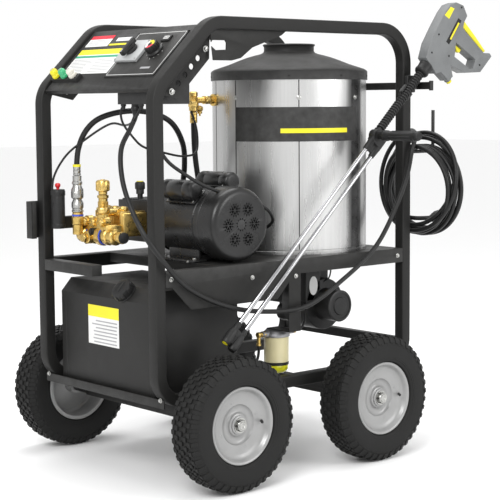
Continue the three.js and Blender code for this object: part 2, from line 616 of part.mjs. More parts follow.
function buildPump() {
  const [x0, x1] = [MOTOR.x - 100, MOTOR.x + 85];
  const body = join(
    block(x0, x1, PUMP_Y, PUMP_Y + PUMP_LENGTH, 702, 832),
    rod("z", 9, 830, 871, { x: -221, y: 120 }, 12),
    rod("z", 13, 852, 871, { x: -221, y: 120 }, 12),
  );
  const bore = rod("y", PUMP_BORE, PUMP_Y - 1, PUMP_Y + PUMP_LENGTH - 10, MOTOR, 24);
  add("pump_crankcase", cut(body, bore), "blackPowder");

  const face = x0 - GAP;
  const rows = [85, 128, 171];
  const gallery = { x: -380, z: 728 };
  const manifold = join(
    block(face - 95, face, 50, 205, 722, 800),
    rod("y", GALLERY_RADIUS, 32, 222, gallery, 24),
    rod("y", GALLERY_RADIUS + 5, 96, 112, gallery, 24),
    block(-395, face - 90, 55, 200, 735, 790),
    ...rows.map((y) => rod("x", 16, -408, -390, { y, z: 772 }, 6)),
    ...rows.map((y) => rod("z", 16, 798, 816, { x: -315, y }, 6)),
    rod("z", 17, 725, 858, UNLOADER, 20),
    rod("z", 21, 800, 818, UNLOADER, 6),
    rod("x", 12, -380, -330, { y: 100, z: 800 }, 12),
    rod("z", 17, 730, 800, OUTLET, 20),
    rod("x", 14, -415, -385, { y: 190, z: 770 }, 12),
    rod("x", 20, -425, -396, { y: 150, z: 716 }, 16),
    rod("y", 15, 6, 34, gallery, 6),
    rod("y", 19, -6, 8, gallery, 16),
  );
  add("pump_manifold", manifold, "brass");

  const knob = turned("z", [
    [0, 858 + GAP], [14, 858 + GAP], [14, 868], [22, 870], [22, 900], [18, 904], [0, 904],
  ], UNLOADER, 16);
  add("unloader_knob", knob, "brass");

  const base = 800 + GAP;
  const swivel = turned("z", [
    [0, base], [19, base], [19, 832], [16, 836], [20, 842], [20, 874], [15, 882], [17, 890],
    [15, OUTLET_TOP], [0, OUTLET_TOP],
  ], OUTLET, 20);
  add("outlet_swivel", swivel, "steel");

  const sensor = { x: -455, y: 240 };
  const sensorTop = 872;
  const stem = 5;
  const flow = join(
    rod("z", 22, 748, sensorTop, sensor, 20),
    block(-450, -385, 222 + GAP, 248, 748, 786),
  );
  const socket = rod("z", stem + GAP, sensorTop - 10, sensorTop + 1, sensor, 16);
  add("flow_switch", cut(flow, socket), "blackPlastic");
  const button = turned("z", [
    [0, sensorTop - 5], [stem, sensorTop - 5], [stem, sensorTop + 5], [9, sensorTop + 9], [9, sensorTop + 16],
    [5, sensorTop + 20], [0, sensorTop + 20],
  ], sensor, 16);
  add("flow_reset_button", button, "red");
}

// ---- fuel ---------------------------------------------------------------------------------------
const FILTER = { x: 56, y: -222, top: 424 };

function buildTank() {
  const low = TRAY_Z + 4 + GAP;
  const outline = (inset) => [
    [TANK.x0 + inset, low + inset], [TANK.x1 - inset, low + inset], [TANK.x1 - inset, TANK.z1 - inset],
    [TANK.x0 + TANK_CHAMFER.run + inset * 0.4, TANK.z1 - inset],
    [TANK.x0 + inset, TANK.z1 - TANK_CHAMFER.drop - inset * 0.4],
  ];
  const body = plateXZ(outline(0), -TANK.half, TANK.half);
  const room = plateXZ(outline(TANK_WALL), -TANK.half + TANK_WALL, TANK.half - TANK_WALL);
  const lean = Math.atan2(TANK_CHAMFER.drop, TANK_CHAMFER.run);
  const mouth = { x: TANK.x0 + TANK_CHAMFER.run / 2, z: TANK.z1 - TANK_CHAMFER.drop / 2 };
  const slanted = (profile) => {
    const outlinePoints = [...profile, profile[0]].map(([r, h]) => new THREE.Vector2(r, h));
    const geometry = new THREE.LatheGeometry(outlinePoints, 24);
    geometry.rotateX(Math.PI / 2);
    geometry.rotateY(-lean);
    geometry.translate(mouth.x, FILLER_Y, mouth.z);
    return solid(geometry);
  };
  const neckOuter = NECK_BORE + NECK_WALL;
  const neck = slanted([[0, -4], [neckOuter, -4], [neckOuter, 22], [0, 22]]);
  const hole = slanted([[0, -30], [NECK_BORE, -30], [NECK_BORE, 23], [0, 23]]);
  add("fuel_tank", cut(join(body, neck), room, hole), "blackPlastic");

  const inside = neckOuter + GAP;
  const cap = slanted([
    [0, 22 + GAP], [inside, 22 + GAP], [inside, 6], [CAP_RADIUS, 6], [CAP_RADIUS, 26], [CAP_RADIUS - 4, 30], [0, 30],
  ]);
  add("fuel_cap", cap, "blackPlastic");

  const place = { x: FILTER.x, y: FILTER.y };
  const head = join(
    turned("z", [[0, 400], [43, 400], [43, 414], [34, FILTER.top], [0, FILTER.top]], place),
    rod("x", 10, FILTER.x - 62, FILTER.x + 70, { y: FILTER.y, z: 411 }, 12),
  );
  add("fuel_filter_head", head, "steel");
  const bowl = turned("z", [
    [0, 284], [30, 284], [38, 300], [38, 308], [40, 310], [40, 400 - GAP], [0, 400 - GAP],
  ], place);
  add("fuel_filter_bowl", bowl, "cream");
}

// ---- wand and gun -------------------------------------------------------------------------------
const GUN_OUTLINE = [
  [580, 1282], [597, 1330], [637, 1388], [672, 1435], [696, 1459], [727, 1468], [763, 1459], [783, 1425],
  [768, 1404], [762, 1386], [771, 1376], [869, 1303], [900, 1303], [910, 1292], [852, 1238], [772, 1235],
  [701, 1258], [712, 1222], [690, 1208], [652, 1236], [628, 1231],
];
const GUN_LOOP = [[727, 1335], [720, 1288], [797, 1249], [813, 1251], [826, 1280], [771, 1310]];
const TRIGGER_OUTLINE = [
  [764, 1390], [776, 1408], [823, 1368], [886, 1310], [876, 1305], [820, 1348], [774, 1383],
];
const TRIGGER_POCKET = [[752, 1392], [768, 1416], [835, 1376], [896, 1318], [868, 1290], [762, 1370]];
const LATCH_OUTLINE = [[731.1, 1332.2], [765.9, 1312.4], [758, 1302], [745, 1306]];

function buildWand() {
  const wand = new THREE.Group();
  wand.position.set(WAND_TIP.x, WAND_TIP.y, WAND_TIP.z);
  wand.rotation.y = -WAND_ANGLE;
  machine.add(wand);
  const high = { z: WAND_SPACING / 4 };
  const low = { z: high.z - WAND_SPACING };
  const guard = 58;
  const tubes = join(
    rod("x", WAND_TUBE, guard + GAP, COLLAR_END - 1, high, 16),
    rod("x", WAND_TUBE, guard + GAP, WAND_VALVE + 10, low, 16),
    block(WAND_VALVE, SLEEVE_START - GAP, -13, 13, low.z - 12, high.z + 13),
  );
  add("wand_tubes", tubes, "chrome", wand);
  const tip = (place) => turned("x", [[0, 0], [13, 0], [16, 8], [16, guard - 8], [12, guard], [0, guard]], place, 20);
  const web = block(20, guard - 14, -5, 5, low.z, high.z);
  add("wand_nozzles", join(tip(high), tip(low), web), "blackPlastic", wand);
  const bore = WAND_TUBE + GAP;
  const sleeve = turned("x", [
    [bore, SLEEVE_START], [SLEEVE_RADIUS, SLEEVE_START], [SLEEVE_RADIUS, COLLAR_START],
    [COLLAR_RADIUS, COLLAR_START + 6], [COLLAR_RADIUS, COLLAR_END], [bore, COLLAR_END],
  ], high, 24);
  add("wand_sleeve", sleeve, "blackPlastic", wand);
  const grip = turned("y", [
    [0, -190], [14, -190], [16, -184], [15, -60], [17, -40], [12, -28], [12, -13 - GAP], [0, -13 - GAP],
  ], { x: WAND_VALVE + 26, z: 8 }, 20);
  add("side_handle", grip, "blackPlastic", wand);

  const y = WAND_TIP.y;
  const body = plateXZ(GUN_OUTLINE, y - GUN_HALF, y + GUN_HALF, [GUN_LOOP]);
  const pocket = plateXZ(TRIGGER_POCKET, y - TRIGGER_HALF - GAP, y + TRIGGER_HALF + GAP);
  add("gun_body", cut(body, pocket), "gunGrey");
  add("gun_trigger", plateXZ(TRIGGER_OUTLINE, y - TRIGGER_HALF, y + TRIGGER_HALF), "yellow");
  add("gun_safety_latch", plateXZ(LATCH_OUTLINE, y - 7, y + 7), "yellow");
}

// ---- cords and hoses ----------------------------------------------------------------------------
const POWER_EXIT = [-430, -148, 1130 - GAP];
const BOILER_HOSE_X = -30;
const POWER_ROUTE = [
  POWER_EXIT, [-431, -148, 1105], [-452, -150, 1068], [-497, -165, 1010], [-524, -205, 920],
  [-530, -262, 828], [-520, -316, 752], [-478, -333, 690], [-390, -330, 606], [-238, -328, 535],
  [-79, -328, 503], [88, -328, 503], [242, -328, 570], [401, -328, 672], [495, -330, 800],
  [545, -333, 905], [566, -333, 982], [582, -330, 1016], [590, -330, 1019], [CORD_COIL.x0 - 2 * GAP, -330, 1019],
];
const PRESSURE_ROUTE = [
  [OUTLET.x, OUTLET.y, OUTLET_TOP + GAP], [-415, 190, 950], [-409, 188, 1000], [-395, 170, 1052],
  [-370, 140, 1090], [-309, 100, 1114], [-240, 55, 1114], [-165, 35, 1085], [-92, 62, 1015],
  [-48, 108, 938], [-30, 145, 854], [-28, 160, 760], [-28, 160, 700], [-28, 160, ON_DECK],
];
const BOILER_ROUTE = [
  [BOILER_HOSE_X, 80, 1112 - GAP], [-30, 80, 1060], [-28, 78, 980], [-18, 76, 900], [0, 78, 820],
  [12, 80, 740], [14, 80, 690], [14, 80, ON_DECK],
];

function buildCords() {
  add("power_cord", hose(POWER_ROUTE, CORD_RADIUS, 60), "rubber");
  add("pressure_hose", hose(PRESSURE_ROUTE, HOSE_RADIUS, 32), "rubber");
  add("boiler_hose", hose(BOILER_ROUTE, HOSE_RADIUS, 20), "rubber");
  const { x0, x1, y, z, outer, inner } = CORD_COIL;
  const coil = turned("x", [
    [inner, x0 + 12], [inner + 12, x0], [outer - 14, x0], [outer, x0 + 14], [outer, x1 - 14],
    [outer - 14, x1], [inner + 12, x1], [inner, x1 - 12],
  ], { y, z }, COIL_SIDES);
  add("cord_coil", coil, "rubber");
  const plugEnd = x1 + 62;
  const plug = turned("x", [
    [0, x1 + GAP], [12, x1 + GAP], [22, x1 + 22], [24, plugEnd], [0, plugEnd],
  ], { y, z: z - 132 }, 20);
  add("power_plug", plug, "blackPlastic");
}

buildSideFrames();
buildAxles();
for (const end of ENDS) for (const side of SIDES) buildWheel(end, side);
buildDeck();
buildHanger();
buildPanel();
buildControlBox();
buildBoiler();
buildBurner();
buildMotor();
buildPump();
buildTank();
buildWand();
buildCords();

// The origin is on the floor under the middle of the machine, its cord and plug left out.
const CORD_NAMES = ["power_cord", "cord_coil", "power_plug"];
machine.updateMatrixWorld(true);
const extent = new THREE.Box3();
machine.traverse((piece) => {
  if (piece.isMesh && !CORD_NAMES.includes(piece.name)) extent.union(new THREE.Box3().setFromObject(piece, true));
});
const middle = extent.getCenter(new THREE.Vector3());
machine.position.set(-middle.x, -middle.y, 0);

const washer = new THREE.Group();
washer.add(machine);

export default washer;
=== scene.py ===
"""The looks of a hot-water pressure washer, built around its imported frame.

Drawing sizes are in millimetres in the machine's own frame: X runs from the control panel to the cord
hanger, -Y is the wand's side and Z is up. `spot` turns such a point into metres in the row frame.
"""

import logging
import math
import random
from dataclasses import dataclass, field
from enum import Enum

import bpy
from mathutils import Matrix, Vector


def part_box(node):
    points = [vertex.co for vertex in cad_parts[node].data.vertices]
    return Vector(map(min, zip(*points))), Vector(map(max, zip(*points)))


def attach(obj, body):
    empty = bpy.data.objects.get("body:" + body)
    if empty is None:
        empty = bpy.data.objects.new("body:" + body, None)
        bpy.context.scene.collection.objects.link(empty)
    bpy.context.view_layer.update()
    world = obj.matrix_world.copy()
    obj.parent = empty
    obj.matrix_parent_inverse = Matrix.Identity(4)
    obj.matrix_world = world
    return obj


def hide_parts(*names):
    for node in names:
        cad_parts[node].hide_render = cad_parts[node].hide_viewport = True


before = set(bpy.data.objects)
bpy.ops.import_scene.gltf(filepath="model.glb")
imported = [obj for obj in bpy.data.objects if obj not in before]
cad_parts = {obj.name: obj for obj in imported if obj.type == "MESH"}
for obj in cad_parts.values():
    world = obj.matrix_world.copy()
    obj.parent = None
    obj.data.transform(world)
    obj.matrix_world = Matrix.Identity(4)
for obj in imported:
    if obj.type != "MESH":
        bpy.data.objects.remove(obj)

for _name in ("Cube", "Light", "Camera"):
    if _name in bpy.data.objects:
        bpy.data.objects.remove(bpy.data.objects[_name])
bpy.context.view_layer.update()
LOG = logging.getLogger("pressure_washer")
MM = 0.001
NEAR_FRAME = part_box("side_frame_near")
FRAME_LEFT, FRAME_INNER = 0.489, 0.273  # from the drawing's zero to the near loop's end and inner face
DATUM = Vector((NEAR_FRAME[0].x + FRAME_LEFT, NEAR_FRAME[1].y + FRAME_INNER, 0.0))
WELD = 1e-6  # metres
FRAME_WELD = 2e-5

Obj, Tree, Node, Socket = bpy.types.Object, bpy.types.NodeTree, bpy.types.Node, bpy.types.NodeSocket
Material = bpy.types.Material
Point = tuple[float, float, float]
Profile = list[tuple[float, float]]



def rot(axis: str, degrees: float) -> Matrix:
    """A turn about one axis."""
    return Matrix.Rotation(math.radians(degrees), 4, axis)


# Turns that point a piece's own Z along X, -X, Y, -Y or -Z.
TO_X = rot("Y", 90)
TO_BACK = rot("Y", -90)
TO_Y = rot("X", -90)
TO_NEAR = rot("X", 90)
FLIP = rot("X", 180)
DRAWING = Matrix.Translation(DATUM)


def spot(x: float, y: float, z: float) -> Vector:
    """A point of the drawing, in metres in the row frame."""
    return Vector((x * MM, y * MM, z * MM)) + DATUM


def at(x: float, y: float, z: float, turn: Matrix | None = None) -> Matrix:
    """The place of a piece at a drawing point.

    Args:
        x, y, z: The drawing point, in millimetres.
        turn: How the piece is turned there, if it is.

    Returns:
        The matrix that takes the piece's own frame to the row frame.
    """
    return Matrix.Translation(spot(x, y, z)) @ (turn or Matrix.Identity(4))


def shift(x: float, y: float, z: float) -> Matrix:
    """A move inside a piece's own frame, in millimetres."""
    return Matrix.Translation((x * MM, y * MM, z * MM))


PANEL = at(-468, 0, 1187, rot("Y", -44.3))
WAND_ANGLE = math.radians(43.4)
WAND = at(-268, -362, 425, Matrix.Rotation(-WAND_ANGLE, 4, "Y"))
LEAN = math.atan2(40, 37)
FILLER = at(-426.5, -80, 568, Matrix.Rotation(-LEAN, 4, "Y"))


# ---- shared effects -----------------------------------------------------------------------------


def add(tree: Tree, kind: str, values: dict | None = None, **settings: object) -> Node:
    """A new shader node with its settings and inputs set.

    Args:
        tree: The node tree it goes in.
        kind: The node's type.
        values: Input values, by socket name or number.
        settings: Its own settings, such as operation.

    Returns:
        The node.
    """
    node = tree.nodes.new(kind)
    for label, value in settings.items():
        setattr(node, label, value)
    for socket, value in (values or {}).items():
        node.inputs[socket].default_value = value
    return node


def new_group(name: str, inputs: dict[str, tuple[str, float | None]], outputs: dict[str, str]) -> Tree:
    """An empty shader node group with its sockets made.

    Args:
        name: The group's name.
        inputs: Socket type and default by input name.
        outputs: Socket type by output name.

    Returns:
        The node tree, holding its input and output nodes.
    """
    tree = bpy.data.node_groups.new(name, "ShaderNodeTree")
    for label, (kind, value) in inputs.items():
        socket = tree.interface.new_socket(name=label, in_out="INPUT", socket_type=kind)
        if value is not None:
            socket.default_value = value
    for label, kind in outputs.items():
        tree.interface.new_socket(name=label, in_out="OUTPUT", socket_type=kind)
    tree.nodes.new("NodeGroupInput").name = "in"
    tree.nodes.new("NodeGroupOutput").name = "out"
    return tree


class Effect(Enum):
    """The effects that several finishes share."""

    GRAIN = "grain"
    EDGE_WEAR = "edge_wear"
    DUST = "dust"

    def tree(self) -> Tree:
        """The effect's node group, built the first time it is asked for."""
        made = bpy.data.node_groups.get(self.value)
        return made or {"grain": grain_group, "edge_wear": wear_group, "dust": dust_group}[self.value]()


def grain_group() -> Tree:
    """Coarse mottling and fine grain, as a mask and a height."""
    tree = new_group(
        "grain",
        {
            "Vector": ("NodeSocketVector", None),
            "Mottle Scale": ("NodeSocketFloat", 20.0),
            "Grain Scale": ("NodeSocketFloat", 900.0),
        },
        {"Mottle": "NodeSocketFloat", "Height": "NodeSocketFloat"},
    )
    nodes, links = tree.nodes, tree.links
    coarse, fine = (add(tree, "ShaderNodeTexNoise", {"Detail": detail}) for detail in (4, 2))
    for noise, scale in ((coarse, "Mottle Scale"), (fine, "Grain Scale")):
        links.new(nodes["in"].outputs["Vector"], noise.inputs["Vector"])
        links.new(nodes["in"].outputs[scale], noise.inputs["Scale"])
    contrast = add(tree, "ShaderNodeMapRange", {"From Min": 0.3, "From Max": 0.7})
    links.new(coarse.outputs["Fac"], contrast.inputs["Value"])
    links.new(contrast.outputs["Result"], nodes["out"].inputs["Mottle"])
    links.new(fine.outputs["Fac"], nodes["out"].inputs["Height"])
    return tree


def break_up(tree: Tree, mask: Socket, scale: float, detail: float, clamp: bool) -> None:
    """Breaks a mask up by noise, scales it by the group's amount and leads it out.

    Args:
        tree: The group.
        mask: The socket that gives the mask.
        scale: The noise's scale.
        detail: The noise's detail.
        clamp: Whether the result is held between 0 and 1.
    """
    coords = add(tree, "ShaderNodeTexCoord")
    noise = add(tree, "ShaderNodeTexNoise", {"Scale": scale, "Detail": detail})
    broken = add(tree, "ShaderNodeMath", operation="MULTIPLY")
    scaled = add(tree, "ShaderNodeMath", operation="MULTIPLY", use_clamp=clamp)
    for source, socket in (
        (coords.outputs["Object"], noise.inputs["Vector"]), (mask, broken.inputs[0]),
        (noise.outputs["Fac"], broken.inputs[1]), (broken.outputs[0], scaled.inputs[0]),
        (tree.nodes["in"].outputs["Amount"], scaled.inputs[1]), (scaled.outputs[0], tree.nodes["out"].inputs["Mask"]),
    ):
        tree.links.new(source, socket)


def wear_group() -> Tree:
    """Rubbed edges, broken up by noise, as a mask."""
    tree = new_group("edge_wear", {"Amount": ("NodeSocketFloat", 0.3)}, {"Mask": "NodeSocketFloat"})
    geometry = add(tree, "ShaderNodeNewGeometry")
    edge = add(tree, "ShaderNodeMapRange", {"From Min": 0.52, "From Max": 0.62})
    tree.links.new(geometry.outputs["Pointiness"], edge.inputs["Value"])
    break_up(tree, edge.outputs["Result"], 45, 3, True)
    return tree


def dust_group() -> Tree:
    """A thin film on faces that look up, as a mask."""
    tree = new_group("dust", {"Amount": ("NodeSocketFloat", 0.2)}, {"Mask": "NodeSocketFloat"})
    geometry = add(tree, "ShaderNodeNewGeometry")
    split = add(tree, "ShaderNodeSeparateXYZ")
    up = add(tree, "ShaderNodeMapRange", {"From Min": 0.3})
    tree.links.new(geometry.outputs["Normal"], split.inputs[0])
    tree.links.new(split.outputs["Z"], up.inputs["Value"])
    break_up(tree, up.outputs["Result"], 30, 6, False)
    return tree


# ---- finishes -----------------------------------------------------------------------------------


DUST_COLOUR: Point = (0.42, 0.41, 0.39)


@dataclass(frozen=True)
class Finish:
    """One surface finish, as a Principled material with grain, wear and dust."""

    name: str
    slot: str | None
    colour: Point
    roughness: float = 0.5
    metallic: float = 0.0
    mottle: float = 0.12
    mottle_scale: float = 18.0
    grain: float = 0.1
    grain_scale: float = 900.0
    wear: float = 0.0
    wear_colour: Point = (0.25, 0.25, 0.25)
    dust: float = 0.0
    coat: float = 0.0
    stretch: Point = (1.0, 1.0, 1.0)
    rough_spread: float = 0.08
    gloss: float = 0.5

    def shade(self, factor: float) -> tuple[float, float, float, float]:
        """The finish's colour, lighter or darker by a factor."""
        return tuple(min(1.0, c * factor) for c in self.colour) + (1.0,)

    def material(self) -> Material:
        """The finish's material, built the first time it is asked for."""
        return bpy.data.materials.get(self.name) or self.build()

    def mix(self, tree: Tree, mask: Socket, base: Socket, over: Point):
        """A colour laid over another by a mask.

        Args:
            tree: The material's node tree.
            mask: The socket that gives the mask.
            base: The socket that gives the colour underneath.
            over: The colour on top.

        Returns:
            The socket that gives the mixed colour.
        """
        node = add(tree, "ShaderNodeMix", {"B": (*over, 1.0)}, data_type="RGBA")
        tree.links.new(mask, node.inputs["Factor"])
        tree.links.new(base, node.inputs["A"])
        return node.outputs["Result"]

    def effect(self, tree: Tree, kind: Effect, **values: float) -> Node:
        """A shared effect placed in a material.

        Args:
            tree: The material's node tree.
            kind: Which effect.
            values: Its inputs, by name with underscores for spaces.

        Returns:
            The group node.
        """
        inputs = {label.replace("_", " "): value for label, value in values.items()}
        return add(tree, "ShaderNodeGroup", inputs, node_tree=kind.tree())

    def ground(self, tree: Tree, grain: Node) -> Socket:
        """The colour before wear and dust: the base, mottled lighter and darker."""
        shades = {"A": self.shade(1 - self.mottle), "B": self.shade(1 + self.mottle)}
        node = add(tree, "ShaderNodeMix", shades, data_type="RGBA")
        tree.links.new(grain.outputs["Mottle"], node.inputs["Factor"])
        return node.outputs["Result"]

    def build(self) -> Material:
        """Makes the node material.

        Returns:
            The new material.
        """
        material = bpy.data.materials.new(self.name)
        material.use_nodes = True
        material.diffuse_color = self.shade(1)
        tree = material.node_tree
        links = tree.links
        shader = tree.nodes["Principled BSDF"]
        for label, value in (("Metallic", self.metallic), ("Coat Weight", self.coat), ("Coat Roughness", 0.12),
                             ("Specular IOR Level", self.gloss)):
            shader.inputs[label].default_value = value
        coords = add(tree, "ShaderNodeTexCoord")
        mapping = add(tree, "ShaderNodeMapping", {"Scale": self.stretch})
        links.new(coords.outputs["Object"], mapping.inputs["Vector"])
        grain = self.effect(tree, Effect.GRAIN, Mottle_Scale=self.mottle_scale, Grain_Scale=self.grain_scale)
        links.new(mapping.outputs["Vector"], grain.inputs["Vector"])
        colour = self.ground(tree, grain)
        if self.wear:
            worn = self.effect(tree, Effect.EDGE_WEAR, Amount=self.wear)
            colour = self.mix(tree, worn.outputs["Mask"], colour, self.wear_colour)
        if self.dust:
            film = self.effect(tree, Effect.DUST, Amount=self.dust)
            colour = self.mix(tree, film.outputs["Mask"], colour, DUST_COLOUR)
        links.new(colour, shader.inputs["Base Color"])
        rough = add(tree, "ShaderNodeMapRange", {
            "To Min": max(0.02, self.roughness - self.rough_spread),
            "To Max": min(1.0, self.roughness + self.rough_spread),
        })
        links.new(grain.outputs["Mottle"], rough.inputs["Value"])
        links.new(rough.outputs["Result"], shader.inputs["Roughness"])
        bump = add(tree, "ShaderNodeBump", {"Strength": self.grain, "Distance": 0.8 * MM})
        links.new(grain.outputs["Height"], bump.inputs["Height"])
        links.new(bump.outputs["Normal"], shader.inputs["Normal"])
        return material


@dataclass(frozen=True)
class DrumFinish(Finish):
    """Brushed sheet steel on a drum, with painted reflections: tall bright and dark stripes round it."""

    centre: Point = (0.0, 0.0, 0.0)
    # Turns the painted reflections so that the stripe at 0 degrees faces the camera.
    facing: float = 132.4
    painted_reflection_bands: tuple[tuple[float, float], ...] = ()

    def ground(self, tree: Tree, grain: Node) -> Socket:
        """The painted reflections, as stripes by angle round the drum, mottled by the brushing.

        Args:
            tree: The material's node tree.
            grain: The grain group in it.

        Returns:
            The socket that gives the colour.
        """
        links = tree.links
        coords = add(tree, "ShaderNodeTexCoord")
        centred = add(tree, "ShaderNodeVectorMath", {1: self.centre}, operation="SUBTRACT")
        links.new(coords.outputs["Object"], centred.inputs[0])
        mapping = add(tree, "ShaderNodeMapping", {"Rotation": (0, 0, math.radians(self.facing))})
        links.new(centred.outputs[0], mapping.inputs["Vector"])
        angle = add(tree, "ShaderNodeTexGradient", gradient_type="RADIAL")
        links.new(mapping.outputs["Vector"], angle.inputs["Vector"])
        ramp = add(tree, "ShaderNodeValToRGB")
        stops = ramp.color_ramp.elements
        for turn, _ in self.painted_reflection_bands[1:-1]:
            stops.new(0.5 + turn / 360)
        for stop, (turn, value) in zip(stops, self.painted_reflection_bands):
            stop.position = 0.5 + turn / 360
            stop.color = self.shade(value)
        links.new(angle.outputs["Fac"], ramp.inputs["Fac"])
        dark = (1 - self.mottle,) * 3 + (1.0,)
        node = add(tree, "ShaderNodeMix", {"B": dark}, data_type="RGBA", blend_type="MULTIPLY")
        links.new(grain.outputs["Mottle"], node.inputs["Factor"])
        links.new(ramp.outputs["Color"], node.inputs["A"])
        return node.outputs["Result"]


BLACK = (0.014, 0.0138, 0.0132)
POWDER = Finish("powder_coat", "frame_black", BLACK, 0.52, 0.15, grain=0.35, grain_scale=1400, wear=0.25, dust=0.03,
                gloss=0.22)
SHEET = Finish("powder_sheet", "frame_black", (0.015, 0.0148, 0.014), 0.5, 0.15, grain=0.3, grain_scale=1200,
               wear=0.2, dust=0.05, gloss=0.22)
CASTING = Finish("painted_casting", "frame_black", (0.013, 0.013, 0.013), 0.4, 0.1, mottle=0.2, grain=0.5,
                 grain_scale=420, wear=0.2, dust=0.03, gloss=0.3)
BARREL = Finish("painted_barrel", "frame_black", (0.01, 0.01, 0.01), 0.3, 0.1, grain=0.15, wear=0.15, dust=0.02,
                gloss=0.4)
PLASTIC = Finish("moulded_black", "plastic_black", (0.012, 0.012, 0.012), 0.42, grain=0.25, grain_scale=1600,
                 wear=0.1, gloss=0.25)
TANK_PLASTIC = Finish("tank_polyethylene", "plastic_black", (0.014, 0.0138, 0.0132), 0.5, mottle=0.2, grain=0.4,
                      grain_scale=700, dust=0.04, gloss=0.25)
JACKET = Finish("cord_jacket", "rubber_black", (0.012, 0.012, 0.012), 0.38, grain=0.15, grain_scale=1300, dust=0.02,
                gloss=0.25)
HOSE = Finish("hose_cover", "rubber_black", (0.012, 0.012, 0.012), 0.5, grain=0.5, grain_scale=1100, gloss=0.25)
TYRE = Finish("tyre_rubber_black", "tyre_rubber", (0.01, 0.01, 0.0097), 0.62, grain=0.3, grain_scale=500, dust=0.03,
              gloss=0.2)
RIM = Finish("rim_paint", "rim_grey", (0.27, 0.27, 0.268), 0.38, 0.25, mottle=0.06, grain=0.12, wear=0.15,
             wear_colour=(0.2, 0.2, 0.2), coat=0.15)
ZINC = Finish("zinc_plate", "steel", (0.4, 0.4, 0.385), 0.3, 0.95, mottle=0.15, grain=0.15, grain_scale=600)
CAST_STEEL = Finish("grey_casting", "steel", (0.3, 0.3, 0.31), 0.42, 0.7, grain=0.4, grain_scale=500)
CHROME = Finish("polished_tube", "chrome", (0.4, 0.4, 0.41), 0.14, 1.0, mottle=0.03, grain=0.03, rough_spread=0.04)
BRASS = Finish("forged_brass", "brass", (0.62, 0.43, 0.13), 0.3, 0.95, mottle=0.18, mottle_scale=60, grain=0.3,
               grain_scale=500, wear=0.3, wear_colour=(0.85, 0.68, 0.35))
YELLOW = Finish("yellow_plastic", "yellow", (0.66, 0.58, 0.01), 0.42, mottle=0.04, grain=0.12)
GREEN = Finish("green_plastic", "green", (0.04, 0.34, 0.15), 0.4, mottle=0.06)
WHITE = Finish("white_plastic", "white", (0.6, 0.58, 0.51), 0.42, mottle=0.04)
RED = Finish("red_plastic", "red", (0.55, 0.015, 0.02), 0.38, mottle=0.05)
BLUE = Finish("blue_ring", None, (0.03, 0.07, 0.5), 0.4, mottle=0.05)
GUN_GREY = Finish("gun_plastic", "gun_grey", (0.125, 0.13, 0.132), 0.5, grain=0.35, grain_scale=1500, wear=0.15)
PLATE = Finish("satin_plate", "plate_grey", (0.42, 0.43, 0.43), 0.45, 0.3, mottle=0.05, grain=0.1)
CREAM = Finish("filter_can_paint", "cream", (0.62, 0.56, 0.33), 0.35, mottle=0.04, coat=0.3)
BOWL = Finish("filter_bowl_clear", "cream", (0.6, 0.58, 0.02), 0.15, mottle=0.25, mottle_scale=50, coat=0.5)
PAPER = Finish("label_white", None, (0.66, 0.66, 0.65), 0.45, mottle=0.03, grain=0.05)
LABEL_YELLOW = Finish("label_yellow", None, (0.7, 0.62, 0.01), 0.45, mottle=0.03, grain=0.05)
LABEL_GREEN = Finish("label_green", None, (0.02, 0.28, 0.16), 0.45, mottle=0.03, grain=0.05)
LABEL_RED = Finish("label_red", None, (0.6, 0.01, 0.03), 0.45, mottle=0.03, grain=0.05)
LABEL_BLACK = Finish("label_black", None, (0.02, 0.02, 0.02), 0.4, mottle=0.05, grain=0.05)
PRINT = Finish("label_print", None, (0.3, 0.3, 0.31), 0.5, mottle=0.1, grain=0.05)
VOID = Finish("dark_inside", None, (0.004, 0.004, 0.004), 0.8, mottle=0.3, grain=0.1)
STRAP = Finish("strap_steel", "stainless", (0.07, 0.07, 0.07), 0.3, 0.9, mottle=0.3, mottle_scale=30, grain=0.15)
STAINLESS = DrumFinish(
    "brushed_stainless", "stainless", (0.6, 0.6, 0.595), 0.3, 0.9, mottle=0.16, mottle_scale=14, grain=0.25,
    grain_scale=300, stretch=(5.0, 5.0, 0.12), rough_spread=0.06,
    centre=(0.1085, 0.0165, 0.0),
    # Painted reflections: the brightness of each stripe, by degrees round the drum from the side that faces the camera.
    painted_reflection_bands=((-180, 0.7), (-120, 0.95), (-95, 0.5), (-66, 0.85), (-48, 0.75), (-30, 0.5), (-12, 0.85), (14, 1.1),
           (45, 0.95), (50, 0.3), (63, 0.22), (68, 0.95), (85, 0.6), (130, 1.0), (180, 0.7)),
)


# ---- modelling ----------------------------------------------------------------------------------


def clear() -> None:
    """Selects no object."""
    bpy.ops.object.select_all(action="DESELECT")


def link(obj: Obj) -> Obj:
    """Puts a new object in the scene."""
    bpy.context.scene.collection.objects.link(obj)
    return obj


def fresh(name: str) -> Obj:
    """Names the object that was just added."""
    bpy.context.object.name = name
    return bpy.context.object


def pick(obj: Obj) -> None:
    """Selects one object and nothing else."""
    clear()
    obj.select_set(True)
    bpy.context.view_layer.objects.active = obj


def edit(obj: Obj, select: str = "SELECT") -> None:
    """Opens an object in edit mode with all of it selected, or none."""
    pick(obj)
    bpy.ops.object.mode_set(mode="EDIT")
    bpy.ops.mesh.select_all(action=select)


def leave() -> None:
    """Goes back to object mode."""
    bpy.ops.object.mode_set(mode="OBJECT")


def settle(obj: Obj, place: Matrix) -> Obj:
    """Puts an object in its place and bakes that into its mesh."""
    pick(obj)
    obj.matrix_world = place
    bpy.ops.object.transform_apply(location=True, rotation=True, scale=True)
    return obj


def seal(obj: Obj) -> None:
    """Merges doubles and turns all faces out."""
    edit(obj)
    bpy.ops.mesh.remove_doubles(threshold=WELD)
    bpy.ops.mesh.normals_make_consistent(inside=False)
    leave()


